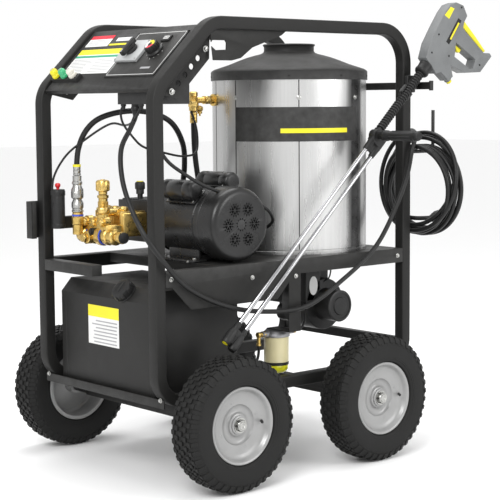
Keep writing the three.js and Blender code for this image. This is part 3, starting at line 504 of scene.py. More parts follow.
def lathe(name: str, profile: Profile, sides: int = 48, closed: bool = False) -> Obj:
    """A turned piece about its own Z axis, drawn ring by ring.

    Args:
        name: The piece's name.
        profile: Points of radius and height, from one end to the other.
        sides: How many sides the turning has.
        closed: Whether the profile closes on itself, as for a ring.

    Returns:
        The new object.
    """
    radius, height = profile[0]
    clear()
    bpy.ops.mesh.primitive_circle_add(
        vertices=sides, radius=radius * MM, fill_type="NOTHING" if closed else "NGON", location=(0, 0, height * MM)
    )
    obj = fresh(name)
    bpy.ops.object.transform_apply(location=True)
    edit(obj)
    bpy.ops.mesh.select_mode(type="EDGE" if closed else "FACE")
    bpy.ops.mesh.select_all(action="SELECT")
    for r, h in profile[1:] + (profile[:1] if closed else []):
        rise = {"value": (0, 0, (h - height) * MM)}
        if closed:
            bpy.ops.mesh.extrude_edges_move(TRANSFORM_OT_translate=rise)
        else:
            bpy.ops.mesh.extrude_region_move(TRANSFORM_OT_translate=rise)
        factor = r / radius
        bpy.ops.transform.resize(value=(factor, factor, 1), center_override=(0, 0, h * MM))
        radius, height = r, h
    leave()
    seal(obj)
    return obj


def slab(name: str, outline: Profile, depth: float, bevel: float = 0.0) -> Obj:
    """A plate with an outline in its own XY plane, extruded up its own Z.

    Args:
        name: The piece's name.
        outline: The corners, in millimetres.
        depth: The thickness.
        bevel: The width of the bevel on its edges, if any.

    Returns:
        The new object.
    """
    clear()
    bpy.ops.mesh.primitive_circle_add(vertices=len(outline), radius=1, fill_type="NGON")
    obj = fresh(name)
    for vertex, (x, y) in zip(obj.data.vertices, outline):
        vertex.co = (x * MM, y * MM, 0)
    edit(obj)
    bpy.ops.mesh.extrude_region_move(TRANSFORM_OT_translate={"value": (0, 0, depth * MM)})
    leave()
    seal(obj)
    return soften(obj, bevel) if bevel else obj


def brick(name: str, low: Point, high: Point, bevel: float = 1.0, segments: int = 2) -> Obj:
    """A block between two corners, in millimetres, with bevelled edges.

    Args:
        name: The piece's name.
        low: Its lowest corner.
        high: Its highest corner.
        bevel: The width of its bevel.
        segments: How many faces round the bevel has.

    Returns:
        The new object.
    """
    size = [(b - a) * MM for a, b in zip(low, high)]
    middle = [(a + b) / 2 * MM for a, b in zip(low, high)]
    clear()
    bpy.ops.mesh.primitive_cube_add(size=1, location=middle, scale=size)
    obj = fresh(name)
    bpy.ops.object.transform_apply(location=True, scale=True)
    edit(obj)
    bpy.ops.mesh.bevel(offset=bevel * MM, segments=segments, affect="EDGES")
    leave()
    return obj


def soften(obj: Obj, width: float, segments: int = 2, angle: float = 30) -> Obj:
    """Bevels every edge sharper than an angle.

    Args:
        obj: The object.
        width: The bevel's width, in millimetres.
        segments: How many faces round it has.
        angle: The least angle that is bevelled, in degrees.

    Returns:
        The same object.
    """
    pick(obj)
    modifier = obj.modifiers.new("soften", "BEVEL")
    modifier.width = width * MM
    modifier.segments = segments
    modifier.limit_method = "ANGLE"
    modifier.angle_limit = math.radians(angle)
    bpy.ops.object.modifier_apply(modifier="soften")
    return obj


def carve(obj: Obj, tool: Obj) -> Obj:
    """Cuts one object out of another and removes the cutter."""
    pick(obj)
    modifier = obj.modifiers.new("carve", "BOOLEAN")
    modifier.object = tool
    modifier.solver = "EXACT"
    bpy.ops.object.modifier_apply(modifier="carve")
    bpy.data.objects.remove(tool)
    return obj


def twin(obj: Obj, place: Matrix) -> Obj:
    """A copy with a mesh of its own, moved by a matrix."""
    copy = obj.copy()
    copy.data = obj.data.copy()
    return settle(link(copy), place)


def gather(name: str, parts: list[Obj]) -> Obj:
    """Joins several objects into one, and names it."""
    clear()
    for part in parts:
        part.select_set(True)
    bpy.context.view_layer.objects.active = parts[0]
    if len(parts) > 1:
        bpy.ops.object.join()
    parts[0].name = name
    return parts[0]


def spread(name: str, master: Obj, places: list[Matrix]) -> Obj:
    """Copies of a master at several places, as one piece; the master goes."""
    parts = [twin(master, place) for place in places]
    bpy.data.objects.remove(master)
    return gather(name, parts)


def refined(node: str, name: str, width: float, segments: int = 2) -> Obj:
    """A copy of a frame node with its edges softened.

    Args:
        node: The frame node.
        name: The new piece's name.
        width: The bevel's width, in millimetres.
        segments: How many faces round the bevel has.

    Returns:
        The new object.
    """
    obj = link(bpy.data.objects.new(name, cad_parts[node].data.copy()))
    obj.data.materials.clear()
    edit(obj)
    bpy.ops.mesh.remove_doubles(threshold=FRAME_WELD)
    bpy.ops.mesh.dissolve_limited(angle_limit=math.radians(1))
    leave()
    return soften(obj, width, segments)


def dress(
    obj: Obj, finish: Finish, body: str = "root", stands_for: tuple[str, ...] = (), angle: float = 38
) -> Obj:
    """Gives a piece its finish, its shading and its body.

    Args:
        obj: The piece, in place.
        finish: Its finish.
        body: The body that it moves with.
        stands_for: The frame nodes that it replaces.
        angle: The sharpest edge that is shaded smooth, in degrees.

    Returns:
        The same object.
    """
    obj.data.materials.clear()
    obj.data.materials.append(finish.material())
    if obj.type == "MESH":
        pick(obj)
        bpy.ops.object.shade_smooth_by_angle(angle=math.radians(angle))
    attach(obj, body)
    if stands_for:
        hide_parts(*stands_for)
    LOG.info("%s rides on %s in %s", obj.name, body, finish.name)
    return obj


def restyle(
    node: str, name: str, width: float, finish: Finish, body: str = "root", segments: int = 2,
) -> Obj:
    """A softened copy of a frame node that stands for it; the arguments are those of refined and dress."""
    return dress(refined(node, name, width, segments), finish, body, (node,))


def recolour(node: str, finish: Finish) -> None:
    """Gives a frame node that is shown as it is a material of its own."""
    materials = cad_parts[node].data.materials
    materials.clear()
    materials.append(finish.material())


def placed(piece: Obj, finish: Finish) -> Obj:
    """Puts a piece drawn in the machine's own frame in place, and dresses it."""
    return dress(settle(piece, DRAWING), finish)


def spokes(low: Point, high: Point, bevel: float, segments: int, count: int) -> list[Obj]:
    """Bricks spaced evenly about their own Z axis; the other arguments are those of brick."""
    return [settle(brick("spoke", low, high, bevel, segments), Matrix.Rotation(2 * math.pi * k / count, 4, "Z"))
            for k in range(count)]


def turned(
    name: str, profile: Profile, place: Matrix, finish: Finish, body: str = "root", stands_for: tuple[str, ...] = (),
    sides: int = 48, closed: bool = False,
) -> Obj:
    """A turned piece, put in place and dressed; the arguments are those of lathe and dress."""
    return dress(settle(lathe(name, profile, sides, closed), place), finish, body, stands_for)


def hexagon(name: str, radius: float, low: float, high: float) -> Obj:
    """A hexagonal nut or head about its own Z axis, with its corners eased."""
    return soften(lathe(name, [(radius, low), (radius, high)], 6), radius * 0.07, 1)


def bolt(name: str, size: float) -> Obj:
    """A flanged hexagon bolt head that stands on its own XY plane."""
    flange = lathe("flange", [(size * 1.25, 0), (size * 1.25, size * 0.16), (size, size * 0.3)], 24)
    head = hexagon("head", size, size * 0.2, size * 0.85)
    crown = lathe("crown", [(size * 0.8, size * 0.84), (size * 0.62, size * 0.95)], 24)
    return gather(name, [flange, head, crown])


def screw(name: str, size: float) -> Obj:
    """A round screw head with a socket, that stands on its own XY plane."""
    return lathe(
        name,
        [(size, 0), (size, size * 0.25), (size * 0.85, size * 0.5), (size * 0.4, size * 0.55),
         (size * 0.35, size * 0.2)],
        20,
    )


def threads(radius: float, low: float, high: float, pitch: float = 2.0, depth: float = 0.8) -> Profile:
    """The profile of a threaded stretch.

    Args:
        radius: Its outside radius.
        low: Where it starts.
        high: Where it ends.
        pitch: From crest to crest.
        depth: From crest to root.

    Returns:
        Points of radius and height.
    """
    count = max(1, round((high - low) / pitch))
    step = (high - low) / count
    points = [(radius - depth, low)]
    for i in range(count):
        points += [(radius, low + (i + 0.5) * step), (radius - depth, low + (i + 1) * step)]
    return points


# ---- cords and hoses ----------------------------------------------------------------------------


def smooth_line(points: list[Point], step: float = 8.0) -> list[Vector]:
    """A smooth line through chosen points, by centripetal Catmull-Rom spans.

    Args:
        points: Points of the drawing, in millimetres.
        step: About how far apart the returned points are, in millimetres.

    Returns:
        Points in metres in the row frame.
    """
    knots = [Vector(p) for p in points]
    knots = [2 * knots[0] - knots[1], *knots, 2 * knots[-1] - knots[-2]]
    line: list[Vector] = []
    for i in range(1, len(knots) - 2):
        a, b, c, d = knots[i - 1 : i + 3]
        t0 = 0.0
        t1 = t0 + math.sqrt((b - a).length)
        t2 = t1 + math.sqrt((c - b).length)
        t3 = t2 + math.sqrt((d - c).length)
        count = max(2, round((c - b).length / step))
        for k in range(count):
            t = t1 + (t2 - t1) * k / count
            ab = a.lerp(b, (t - t0) / (t1 - t0))
            bc = b.lerp(c, (t - t1) / (t2 - t1))
            cd = c.lerp(d, (t - t2) / (t3 - t2))
            abc = ab.lerp(bc, (t - t0) / (t2 - t0))
            bcd = bc.lerp(cd, (t - t1) / (t3 - t1))
            line.append(abc.lerp(bcd, (t - t1) / (t2 - t1)))
    line.append(knots[-2])
    return [spot(*p) for p in line]


def run_of(line: list[Vector]) -> float:
    """The length of a line, in metres."""
    return sum((b - a).length for a, b in zip(line, line[1:]))


def flex(name: str, line: list[Vector], radius: float, finish: Finish) -> Obj:
    """A round flexible piece along a line, as a curve of one open spline.

    Args:
        name: The piece's name.
        line: The points of its centreline, in metres.
        radius: Its radius, in millimetres.
        finish: Its finish.

    Returns:
        The new curve object.
    """
    curve = bpy.data.curves.new(name, "CURVE")
    curve.dimensions = "3D"
    curve.bevel_depth = radius * MM
    curve.bevel_resolution = 4
    curve.use_fill_caps = True
    spline = curve.splines.new("POLY")
    spline.points.add(len(line) - 1)
    for point, place in zip(spline.points, line):
        point.co = (*place, 1)
    spline.use_smooth = True
    return dress(link(bpy.data.objects.new(name, curve)), finish)


@dataclass
class Cords:
    """The power cord with its coil and plug, both hoses and the short leads."""

    cord_radius: float = 7.5
    hose_radius: float = 9.0
    coil_centre: tuple[float, float] = (-302.0, 878.0)
    turns: tuple[tuple[float, float, float, float], ...] = (
        (172, 645, 176, 618), (113, 604, 166, 632), (113, 620, 182, 648), (113, 637, 163, 664),
        (113, 653, 177, 676), (113, 669, 150, 606), (148, 680, 170, 605), (158, 662, 182, 672),
        (142, 646, 146, 632),
    )
    power: list[Point] = field(default_factory=lambda: [
        (-430, -148, 1129.7), (-431, -148, 1105), (-452, -150, 1068), (-497, -165, 1010), (-524, -205, 920),
        (-530, -262, 828), (-520, -316, 752), (-478, -333, 690), (-390, -330, 606), (-238, -328, 535),
        (-79, -328, 503), (88, -328, 503), (242, -328, 570), (401, -328, 672), (495, -330, 800),
        (545, -333, 905), (566, -333, 982), (581, -329, 1008), (600, -314, 1028), (623, -288, 1040),
    ])
    pressure: list[Point] = field(default_factory=lambda: [
        (-415, 190, 915.3), (-415, 190, 950), (-409, 188, 1000), (-395, 170, 1052), (-370, 140, 1090),
        (-309, 100, 1114), (-240, 55, 1114), (-165, 35, 1085), (-92, 62, 1015), (-48, 108, 938),
        (-30, 145, 854), (-28, 160, 760), (-28, 160, 700), (-28, 160, 653.8),
    ])
    boiler: list[Point] = field(default_factory=lambda: [
        (-30, 80, 1111.7), (-30, 80, 1060), (-28, 78, 980), (-18, 76, 900), (0, 78, 820), (12, 80, 740),
        (14, 80, 690), (14, 80, 653.8),
    ])

    def coil(self) -> list[Point]:
        """The coil's turns, tight over the hook and loose below, and the lead to the plug.

        Returns:
            Drawing points, from the first turn to the plug.
        """
        steps = 20  # points round each turn
        y0, z0 = self.coil_centre
        tops = [*self.turns, (130, 630, 0, 0)]
        points: list[Point] = []
        for k, (top, x_top, low, x_low) in enumerate(self.turns):
            next_top, x_next = tops[k + 1][:2]
            first = 1 if k == 0 else 0
            last = steps // 2 - 1 if k == len(self.turns) - 1 else steps
            for i in range(first, last):
                turn = 2 * math.pi * i / steps
                ease = (1 - math.cos(turn)) / 2
                ends = (top, x_top) if turn < math.pi else (next_top, x_next)
                radius = ends[0] + (low - ends[0]) * ease
                x = ends[1] + (x_low - ends[1]) * ease
                points.append((x, y0 + radius * math.sin(turn), z0 + radius * math.cos(turn)))
        points += [(633, y0 + 66, z0 - 127), (637, y0 + 47, z0 - 130), (647, y0 + 24, z0 - 132),
                   (666, y0 + 6, z0 - 132), (690.2, y0, z0 - 132)]
        return points

    def build(self) -> None:
        """Makes every cord, hose and lead."""
        plug = self.plug()
        line = smooth_line(self.power + self.coil())
        cord = flex("mains_cord", line, self.cord_radius, JACKET)
        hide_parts("power_cord", "cord_coil")
        LOG.info("mains_cord is %.3f m long", run_of(line))
        tuple(spot(*self.power[0]))
        round(run_of(line), 2)
        for name, points, node in (
            ("pump_hose", self.pressure, "pressure_hose"), ("coil_hose", self.boiler, "boiler_hose"),
        ):
            line = smooth_line(points)
            hose = flex(name, line, self.hose_radius, HOSE)
            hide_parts(node)
            tuple(spot(*points[0]))
            round(run_of(line), 3)
        self.leads()
        self.sleeves()

    def leads(self) -> None:
        """The short leads between the control box, the motor, the flow switch and the boiler."""
        routes = {
            "motor_lead": (5.5, [
                (-410, -200, 1137), (-412, -202, 1100), (-405, -206, 1040), (-367, -212, 973), (-300, -222, 925),
                (-247, -232, 895), (-152, -262, 856), (-80, -280, 836), (-20, -276, 806), (18, -250, 770),
                (14, -205, 742), (-10, -170, 735), (-32, -150, 738),
            ]),
            "sensor_lead": (3.5, [
                (-440, -100, 1137), (-444, -92, 1118), (-436, -88, 1085), (-400, -90, 1040), (-359, -80, 1012),
                (-248, -50, 987), (-130, 0, 973), (-60, 30, 985), (-38, 52, 1040), (-40, 66, 1090), (-43, 78, 1114),
            ]),
            "flow_lead": (3.5, [
                (-448, -200, 1137), (-450, -190, 1118), (-440, -150, 1090), (-405, -60, 1075), (-383, 50, 1078),
                (-400, 160, 1030), (-440, 210, 980), (-470, 236, 915), (-476, 240, 870), (-474, 240, 835),
            ]),
        }
        for name, (radius, points) in routes.items():
            line = smooth_line(points, 6)
            lead = flex(name, line, radius, JACKET)
            tuple(spot(*points[0]))
            round(run_of(line), 3)

    def sleeves(self) -> None:
        """The crimped ends of both hoses and the glands of the leads."""
        r = self.hose_radius
        crimp = [(r + 0.2, 0), (r + 3.2, 1), (r + 3.2, 7), (r + 2.2, 8), (r + 3.2, 10), (r + 3.2, 18), (r + 2.2, 19),
                 (r + 3.2, 21), (r + 3.2, 34), (r + 0.6, 36)]
        turned("crimp_pump", crimp, at(-415, 190, 915.6), ZINC)
        turned("band_pump", [(r + 3.5, 26), (r + 3.7, 27), (r + 3.7, 33), (r + 3.5, 34)], at(-415, 190, 917), YELLOW)
        turned("crimp_boiler", crimp, at(-30, 80, 1111, FLIP), BRASS)
        gland = [(13, 0), (13.5, 3), (13.5, 9), (10, 10), (10, 14), (8, 26)]
        turned("cord_gland", [(r0 + 1, h) for r0, h in gland], at(-430, -148, 1130.5, FLIP), PLASTIC)
        for name, x, y, size in (("motor_gland", -410, -200, 0.8), ("sensor_gland", -440, -100, 0.6),
                                 ("flow_gland", -448, -200, 0.6)):
            small = [(r0 * size, h * size) for r0, h in gland]
            turned(name, small, at(x, y, 1138, FLIP), PLASTIC, sides=32)
        grommet = [(r + 0.3, 0), (r + 7, 0), (r + 7, 2), (r + 4, 4), (r + 0.3, 4)]
        turned("grommet_pump_hose", grommet, at(-28, 160, 653.6), PLASTIC, closed=True)
        turned("grommet_boiler_hose", grommet, at(14, 80, 653.6), PLASTIC, closed=True)

    def plug(self) -> Obj:
        """The moulded plug on the end of the power cord.

        Returns:
            The plug piece.
        """
        y0, z0 = self.coil_centre
        body = lathe("plug_body", [(9, 0.3), (10, 6), (12, 8), (12.5, 14), (17, 18), (20, 26), (22.5, 31), (22.5, 34),
                                   (21.5, 35), (21.5, 37), (23, 38), (23.6, 44), (23.6, 50), (22, 52)], 40)
        ribs = lathe("rib", [(23.7, 40), (24, 41), (24, 43), (23.7, 44)], 40)
        obj = settle(gather("mains_plug", [body, ribs]), at(690.3, y0, z0 - 132, TO_X))
        dress(obj, PLASTIC, stands_for=("power_plug",))
        blades = [brick("blade", (51, -11, s * 6.5 - 0.8), (61.5, -4, s * 6.5 + 0.8), 0.3) for s in (-1, 1)]
        pin = settle(lathe("pin", [(2.4, 51), (2.4, 59), (1.4, 61.5)], 20), TO_X)
        settle(pin, shift(0, 9, 0))
        pins = settle(gather("plug_pins", [*blades, pin]), at(690.3, y0, z0 - 132))
        dress(pins, BRASS)
        return obj


# ---- stage --------------------------------------------------------------------------------------


@dataclass
class Studio:
    """The camera, the pale floor and the soft lights."""

    place: Point = (-3.1881, -3.5997, 1.1405)
    yaw: float = math.radians(-40.777)
    down: float = math.radians(5.792)
    roll: float = math.radians(-0.418)
    lens: float = 104.6

    def camera(self) -> None:
        """Puts the camera at its place and makes it the scene's."""
        data = bpy.data.cameras.new("camera")
        data.lens = self.lens
        data.sensor_width = 36
        data.clip_end = 100
        camera = link(bpy.data.objects.new("camera", data))
        ahead = Vector((-math.sin(self.yaw) * math.cos(self.down), math.cos(self.yaw) * math.cos(self.down),
                        -math.sin(self.down)))
        right = Vector((math.cos(self.yaw), math.sin(self.yaw), 0))
        up = right.cross(ahead)
        turned_right = math.cos(self.roll) * right + math.sin(self.roll) * up
        turned_up = math.cos(self.roll) * up - math.sin(self.roll) * right
        matrix = Matrix((turned_right, turned_up, -ahead)).transposed().to_4x4()
        matrix.translation = self.place
        camera.matrix_world = matrix
        bpy.context.scene.camera = camera

    def light(self, name: str, place: Point, aim: Point, size: float, power: float) -> None:
        """A square soft light.

        Args:
            name: Its name.
            place: Where it stands, in metres.
            aim: What it points at.
            size: The length of its side.
            power: Its power in watts.
        """
        data = bpy.data.lights.new(name, "AREA")
        data.size = size
        data.energy = power
        lamp = link(bpy.data.objects.new(name, data))
        lamp.location = place
        lamp.rotation_euler = (Vector(aim) - Vector(place)).to_track_quat("-Z", "Y").to_euler()

    def build(self) -> None:
        """Makes the floor, the world and the lights."""
        clear()
        bpy.ops.mesh.primitive_plane_add(size=60)
        floor = fresh("floor")
        material = bpy.data.materials.new("pale_floor")
        material.use_nodes = True
        shader = material.node_tree.nodes["Principled BSDF"]
        shader.inputs["Base Color"].default_value = (0.93, 0.93, 0.93, 1)
        shader.inputs["Roughness"].default_value = 0.75
        floor.data.materials.append(material)
        world = bpy.data.worlds.new("studio")
        world.use_nodes = True
        world.node_tree.nodes["Background"].inputs["Color"].default_value = (1, 1, 1, 1)
        world.node_tree.nodes["Background"].inputs["Strength"].default_value = 1.0
        bpy.context.scene.world = world
        bpy.context.scene.view_settings.view_transform = "Standard"
        self.light("key", (-3.4, -2.2, 3.2), (0, 0, 0.8), 1.8, 120)
        self.light("fill", (1.6, -4.2, 2.2), (0, 0, 0.7), 2.0, 70)
        self.light("top", (0.2, 0.4, 3.6), (0, 0, 0.6), 2.2, 60)


# ---- frame, deck and hanger ---------------------------------------------------------------------


@dataclass
class Chassis:
    """The two tube loops with their clip and guard, the deck, the rails and the hanger."""

    tube: float = 38.0
    corner: float = 5.0
    half: float = 311.0
    left: float = -489.0
    right: float = 584.0
    low: float = 248.0
    high: float = 1396.0
    slant: tuple[float, float] = (218.0, 212.0)
    bends: tuple[float, float, float, float, float] = (100.0, 100.0, 130.0, 110.0, 110.0)

    def loop(self, name: str, y: float) -> Obj:
        """One bent square-tube loop, run round its five corners.

        Args:
            name: The piece's name.
            y: The middle of the tube across the machine.

        Returns:
            The loop.
        """
        corners = [
            Vector((self.left, self.low)), Vector((self.right, self.low)), Vector((self.right, self.high)),
            Vector((self.left + self.slant[0], self.high)), Vector((self.left, self.high - self.slant[1])),
        ]
        middle = self.tube / 2
        rings: list[tuple[Vector, float]] = []
        for i, corner in enumerate(corners):
            before = (corners[i - 1] - corner).normalized()
            after = (corners[(i + 1) % len(corners)] - corner).normalized()
            half = before.angle(after) / 2
            radius = self.bends[i]
            centre = corner + (before + after).normalized() * radius / math.sin(half)
            start = corner + before * radius / math.tan(half) - centre
            sweep = math.pi - 2 * half
            steps = 14  # sections round each bend
            for k in range(steps + 1):
                turn = sweep * k / steps
                out = Vector((start.x * math.cos(turn) - start.y * math.sin(turn),
                              start.x * math.sin(turn) + start.y * math.cos(turn))).normalized()
                rings.append((centre + out * (radius - middle), math.atan2(out.y, out.x)))
        clear()
        bpy.ops.mesh.primitive_plane_add(size=self.tube * MM)
        obj = fresh(name)
        edit(obj)
        bpy.ops.mesh.bevel(offset=self.corner * MM, segments=4, affect="VERTICES")
        bpy.ops.transform.rotate(value=math.radians(-90), orient_axis="Y", center_override=(0, 0, 0))
        leave()
        section = [vertex.co.copy() for vertex in obj.data.vertices]
        edit(obj)
        bpy.ops.mesh.delete(type="ONLY_FACE")
        bpy.ops.mesh.select_all(action="SELECT")
        bpy.ops.mesh.select_mode(type="EDGE")
        for _ in rings[1:]:
            bpy.ops.mesh.extrude_edges_move(TRANSFORM_OT_translate={"value": (0, 0.001, 0)})
        leave()
        count = len(section)
        for n, vertex in enumerate(obj.data.vertices):
            place, lean = rings[n // count]
            local = section[n % count]
            out, side = local.z, local.y
            x = place.x + math.cos(lean) * out / MM
            z = place.y + math.sin(lean) * out / MM
            vertex.co = spot(x, y + side / MM, z)
        edit(obj)
        bpy.ops.mesh.select_mode(type="EDGE")
        bpy.ops.mesh.select_all(action="DESELECT")
        leave()
        for edge in obj.data.edges:
            ends = {v // count for v in edge.vertices}
            edge.select = ends in ({0}, {len(rings) - 1})
        pick(obj)
        bpy.ops.object.mode_set(mode="EDIT")
        bpy.ops.mesh.bridge_edge_loops()
        bpy.ops.mesh.select_all(action="SELECT")
        bpy.ops.mesh.normals_make_consistent(inside=False)
        leave()
        return obj

    def build(self) -> None:
        """Makes the loops and everything that is bolted to them."""
        y = self.half - self.tube / 2
        dress(self.loop("loop_near", -y), POWDER, stands_for=("side_frame_near",))
        dress(self.loop("loop_far", y), POWDER, stands_for=("side_frame_far",))
        self.clip()
        guard = gather("pump_guard", [
            brick("g1", (-527, 310, 716), (-477, 314, 834), 1),
            brick("g2", (-527, 281, 716), (-524, 314, 834), 1),
            brick("g3", (-527, 281, 716), (-510, 284, 834), 1),
        ])
        placed(guard, SHEET)
        for node, name, width in (
            ("deck", "deck_sheet", 1.2), ("pump_end_rail", "end_rail", 1.2), ("tank_tray", "tank_tray_sheet", 1.2),
            ("crossbar_hanger_end", "crossbar", 2.5), ("hanger_bar", "hanger_rail", 1.5),
            ("axle_beam_panel_end", "axle_panel_end", 1.5), ("axle_beam_hanger_end", "axle_hanger_end", 1.5),
        ):
            restyle(node, name, width, SHEET if width < 1.4 else POWDER)
        self.hook()
        self.gussets()
        self.bolts()

    def clip(self) -> None:
        """The cradle on the near post that holds the wand's sleeve."""
        back = brick("clip_back", (548, -329, 1170), (586, -311, 1226), 4, 3)
        jaw = lathe("wand_clip_jaw", [(15.9, 0), (22.5, 0), (22.5, 30), (15.9, 30)], 32, closed=True)
        mouth = brick("mouth", (-40, 2, -5), (40, 40, 35), 1)
        jaw = carve(jaw, mouth)
        along = WAND @ shift(1060, 0, 8.5) @ TO_X @ rot("Z", 180)
        settle(jaw, along)
        settle(back, DRAWING)
        neck = brick("clip_neck", (553, -346, 1182), (578, -320, 1212), 3, 2)
        settle(neck, DRAWING)
        dress(gather("wand_clip", [back, neck]), PLASTIC)
        dress(jaw, PLASTIC)

    def hook(self) -> None:
        """The round rod that holds the cord, bent up at its end."""
        low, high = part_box("cord_hook")
        y, z = spot(0, -302, 973.2).yz
        points = [(low.x + 0.001, y, z), (high.x - 0.03, y, z)]
        end = high.x - 0.006
        radius = 0.024
        steps = 8
        for k in range(1, steps + 1):
            turn = math.radians(90) * k / steps
            points.append((end - radius + radius * math.sin(turn), y, z + radius - radius * math.cos(turn)))
        points.append((end, y, high.z - 0.001))
        rod = flex("cord_rod", [Vector(p) for p in points], 5.9, POWDER)
        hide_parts("cord_hook")
        boss = [(16, 0), (16, 4), (14.5, 6), (7, 6.2), (7, 9)]
        turned("rod_boss", boss, at(584.2, -302, 973.2, TO_X), POWDER, sides=32)

    def gussets(self) -> None:
        """The sheet webs between the slanted corner and the top tube, each with a six-sided hole."""
        outline = [(-262, 1357.5), (40, 1357.5), (22, 1345), (-96, 1306), (-142, 1274), (-178, 1266), (-250, 1266)]
        hole = [(-262, 1312), (-252, 1325), (-205, 1326), (-199, 1318), (-200, 1298), (-240, 1296)]
        for name, y in (("gusset_near", -288.0), ("gusset_far", 290.0)):
            web = slab(name, outline, 4)
            carve(web, settle(slab("hole", hole, 10), shift(0, 0, -3)))
            dress(settle(soften(web, 0.8), DRAWING @ shift(0, y, 0) @ TO_NEAR), SHEET)

    def bolts(self) -> None:
        """The bolts of the deck, the side plates, the tray and the hanger."""
        toward = {-1: TO_NEAR, 1: TO_Y}
        places = []
        for side in (-1, 1):
            for x, z in ((-432, 630), (520, 630), (-120, 610), (60, 600)):
                places.append(at(x, side * (self.half + 0.2), z, toward[side]))
        places += [at(x, y0, 653.6) for x in (-240, -50) for y0 in (-150, -30)]
        places += [at(-465, y0, 275, TO_BACK) for y0 in (-296, 296)]
        dress(spread("deck_bolts", bolt("deck_bolt", 6), places), ZINC)
        places = [at(594.5, y0, 1192, TO_X) for y0 in (-292, 292)]
        dress(spread("hanger_bolts", bolt("hanger_bolt", 8), places), POWDER)


# ---- wheels -------------------------------------------------------------------------------------


@dataclass
class Wheel:
    """One pneumatic wheel: its rim, its tyre with a block tread, its valve and its axle nut."""

    end: str
    side: str
    tread_radius: float = 201.3
    carcass: float = 196.2
    half_width: float = 56.0
    pitches: int = 44

    @property
    def key(self) -> str:
        """The end and side, as the wheel's nodes are named."""
        return f"{self.end}_{self.side}"

    def place(self) -> Matrix:
        """Where the wheel stands, with its own Z pointing out of the machine."""
        low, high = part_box(f"rim_{self.key}")
        turn = TO_Y if self.side == "far" else TO_NEAR
        sign = 1 if self.side == "far" else -1
        middle = (low + high) / 2
        middle.y = spot(0, sign * 423, 0).y
        return Matrix.Translation(middle) @ turn

    def carcass_profile(self) -> Profile:
        """The tyre's closed section, from bead over tread to bead."""
        half = [
            (109, 37.5), (117.6, 39), (118.4, 45.5), (121, 49.5), (128, 52), (129, 53.3), (133, 53.6), (134, 54.4),
            (146, 55.7), (160, 56), (172, 54.6), (182, 51.2), (190, 46.5), (194, 40), (195.5, 28), (self.carcass, 12),
        ]
        return [(r, -h) for r, h in half] + [(r, h) for r, h in reversed(half)]

    def tyre(self) -> Obj:
        """The tyre with its tread blocks, about its own Z axis.

        Returns:
            The tyre, as one mesh.
        """
        body = lathe("carcass", self.carcass_profile(), 88, closed=True)
        parts = []
        rows = ((0, 11, 0.0, 0.5), (18.5, 10, 0.5, 0.5), (-18.5, 10, 0.5, 0.5), (34.5, 10, 0.0, 0.52),
                (-34.5, 10, 0.0, 0.52))
        pitch = 2 * math.pi * self.tread_radius / self.pitches
        for offset, width, phase, share in rows:
            drop = abs(offset) * abs(offset) / 600
            block = brick("block", (self.carcass - 4 - drop, -pitch * share / 2, offset - width / 2 - 1.6),
                          (self.tread_radius - drop, pitch * share / 2, offset + width / 2 + 1.6), 1.1, 1)
            parts.append(settle(block, Matrix.Rotation(phase * 2 * math.pi / self.pitches, 4, "Z")))
        for side in (-1, 1):
            for phase, reach in ((0.5, 174), (0.0, 181)):
                shoulder = brick("shoulder", (-4, -pitch * 0.23, -3.2), (199 - reach, pitch * 0.23, 3.2), 1.0, 1)
                lean = Matrix.Rotation(side * math.radians(33), 4, "Y")
                spin = Matrix.Rotation(phase * 2 * math.pi / self.pitches, 4, "Z")
                parts.append(settle(shoulder, spin @ shift(reach, 0, side * 51.2) @ lean))
        blocks = gather("blocks", parts)
        edit(blocks)
        bpy.ops.mesh.spin(steps=self.pitches, dupli=True, angle=2 * math.pi, center=(0, 0, 0), axis=(0, 0, 1))
        bpy.ops.mesh.remove_doubles(threshold=WELD)
        leave()
        return gather(f"tyre_lugged_{self.key}", [body, blocks])

    def rim(self) -> Obj:
        """The pressed rim with its hub, about its own Z axis."""
        profile = [
            (12.6, -34), (27, -34), (28, -32), (28, 2), (34, 5), (92, 18), (99, 10), (100, -38), (104, -45),
            (113, -46), (115.6, -44.5), (115.6, -42), (108.4, -39), (108.4, 39), (115.6, 42), (116, 44.5),
            (114, 46), (110, 45.4), (106, 42), (103, 34), (98, 28.5), (86, 25), (66, 22.5), (61, 21.8), (58.5, 18),
            (55, 14.5), (45, 12.6), (40, 13.5), (36.5, 15.2), (34.5, 18), (33.6, 22), (31, 23.5), (28.4, 24),
            (28, 29), (26.5, 30), (12.6, 30),
        ]
        return lathe(f"rim_dish_{self.key}", profile, 88, closed=True)

    def build(self) -> None:
        """Makes the wheel's pieces in place."""
        body = f"wheel_{self.key}"
        place = self.place()
        dress(settle(self.rim(), place), RIM, body, (f"rim_{self.key}",))
        dress(settle(self.tyre(), place), TYRE, body, (f"tyre_{self.key}",), angle=30)
        stem = [(4, -4), (4.4, 2), (3.6, 8), (3.6, 9), (4.2, 9.2), (4.2, 20), (3.2, 22)]
        tilt = rot("Y", -35)
        turned(f"valve_{self.key}", stem, place @ shift(88, 0, 25) @ tilt, PLASTIC, body, sides=20)
        dents = [(5, 0), (4.6, 0.8), (3, 1.4)]
        spots = [place @ rot("Z", a) @ shift(72, 0, 22.6) for a in (20, 110, 200, 290)]
        dress(spread(f"rim_rivets_{self.key}", lathe("dent", dents, 20), spots), RIM, body)
        washer = lathe("washer", [(12.4, 30.6), (23, 30.6), (23, 33), (12.4, 33)], 32, closed=True)
        nut = hexagon("nut", 18.8, 33, 41)
        dome = lathe("dome", [(17, 40.8), (16, 42.6), (12.6, 43), (12.6, 44), (11.4, 45.2), (6, 45.4), (5, 44)], 32)
        dress(settle(gather(f"axle_nut_{self.key}", [washer, nut, dome]), place), ZINC)


# ---- control panel ------------------------------------------------------------------------------


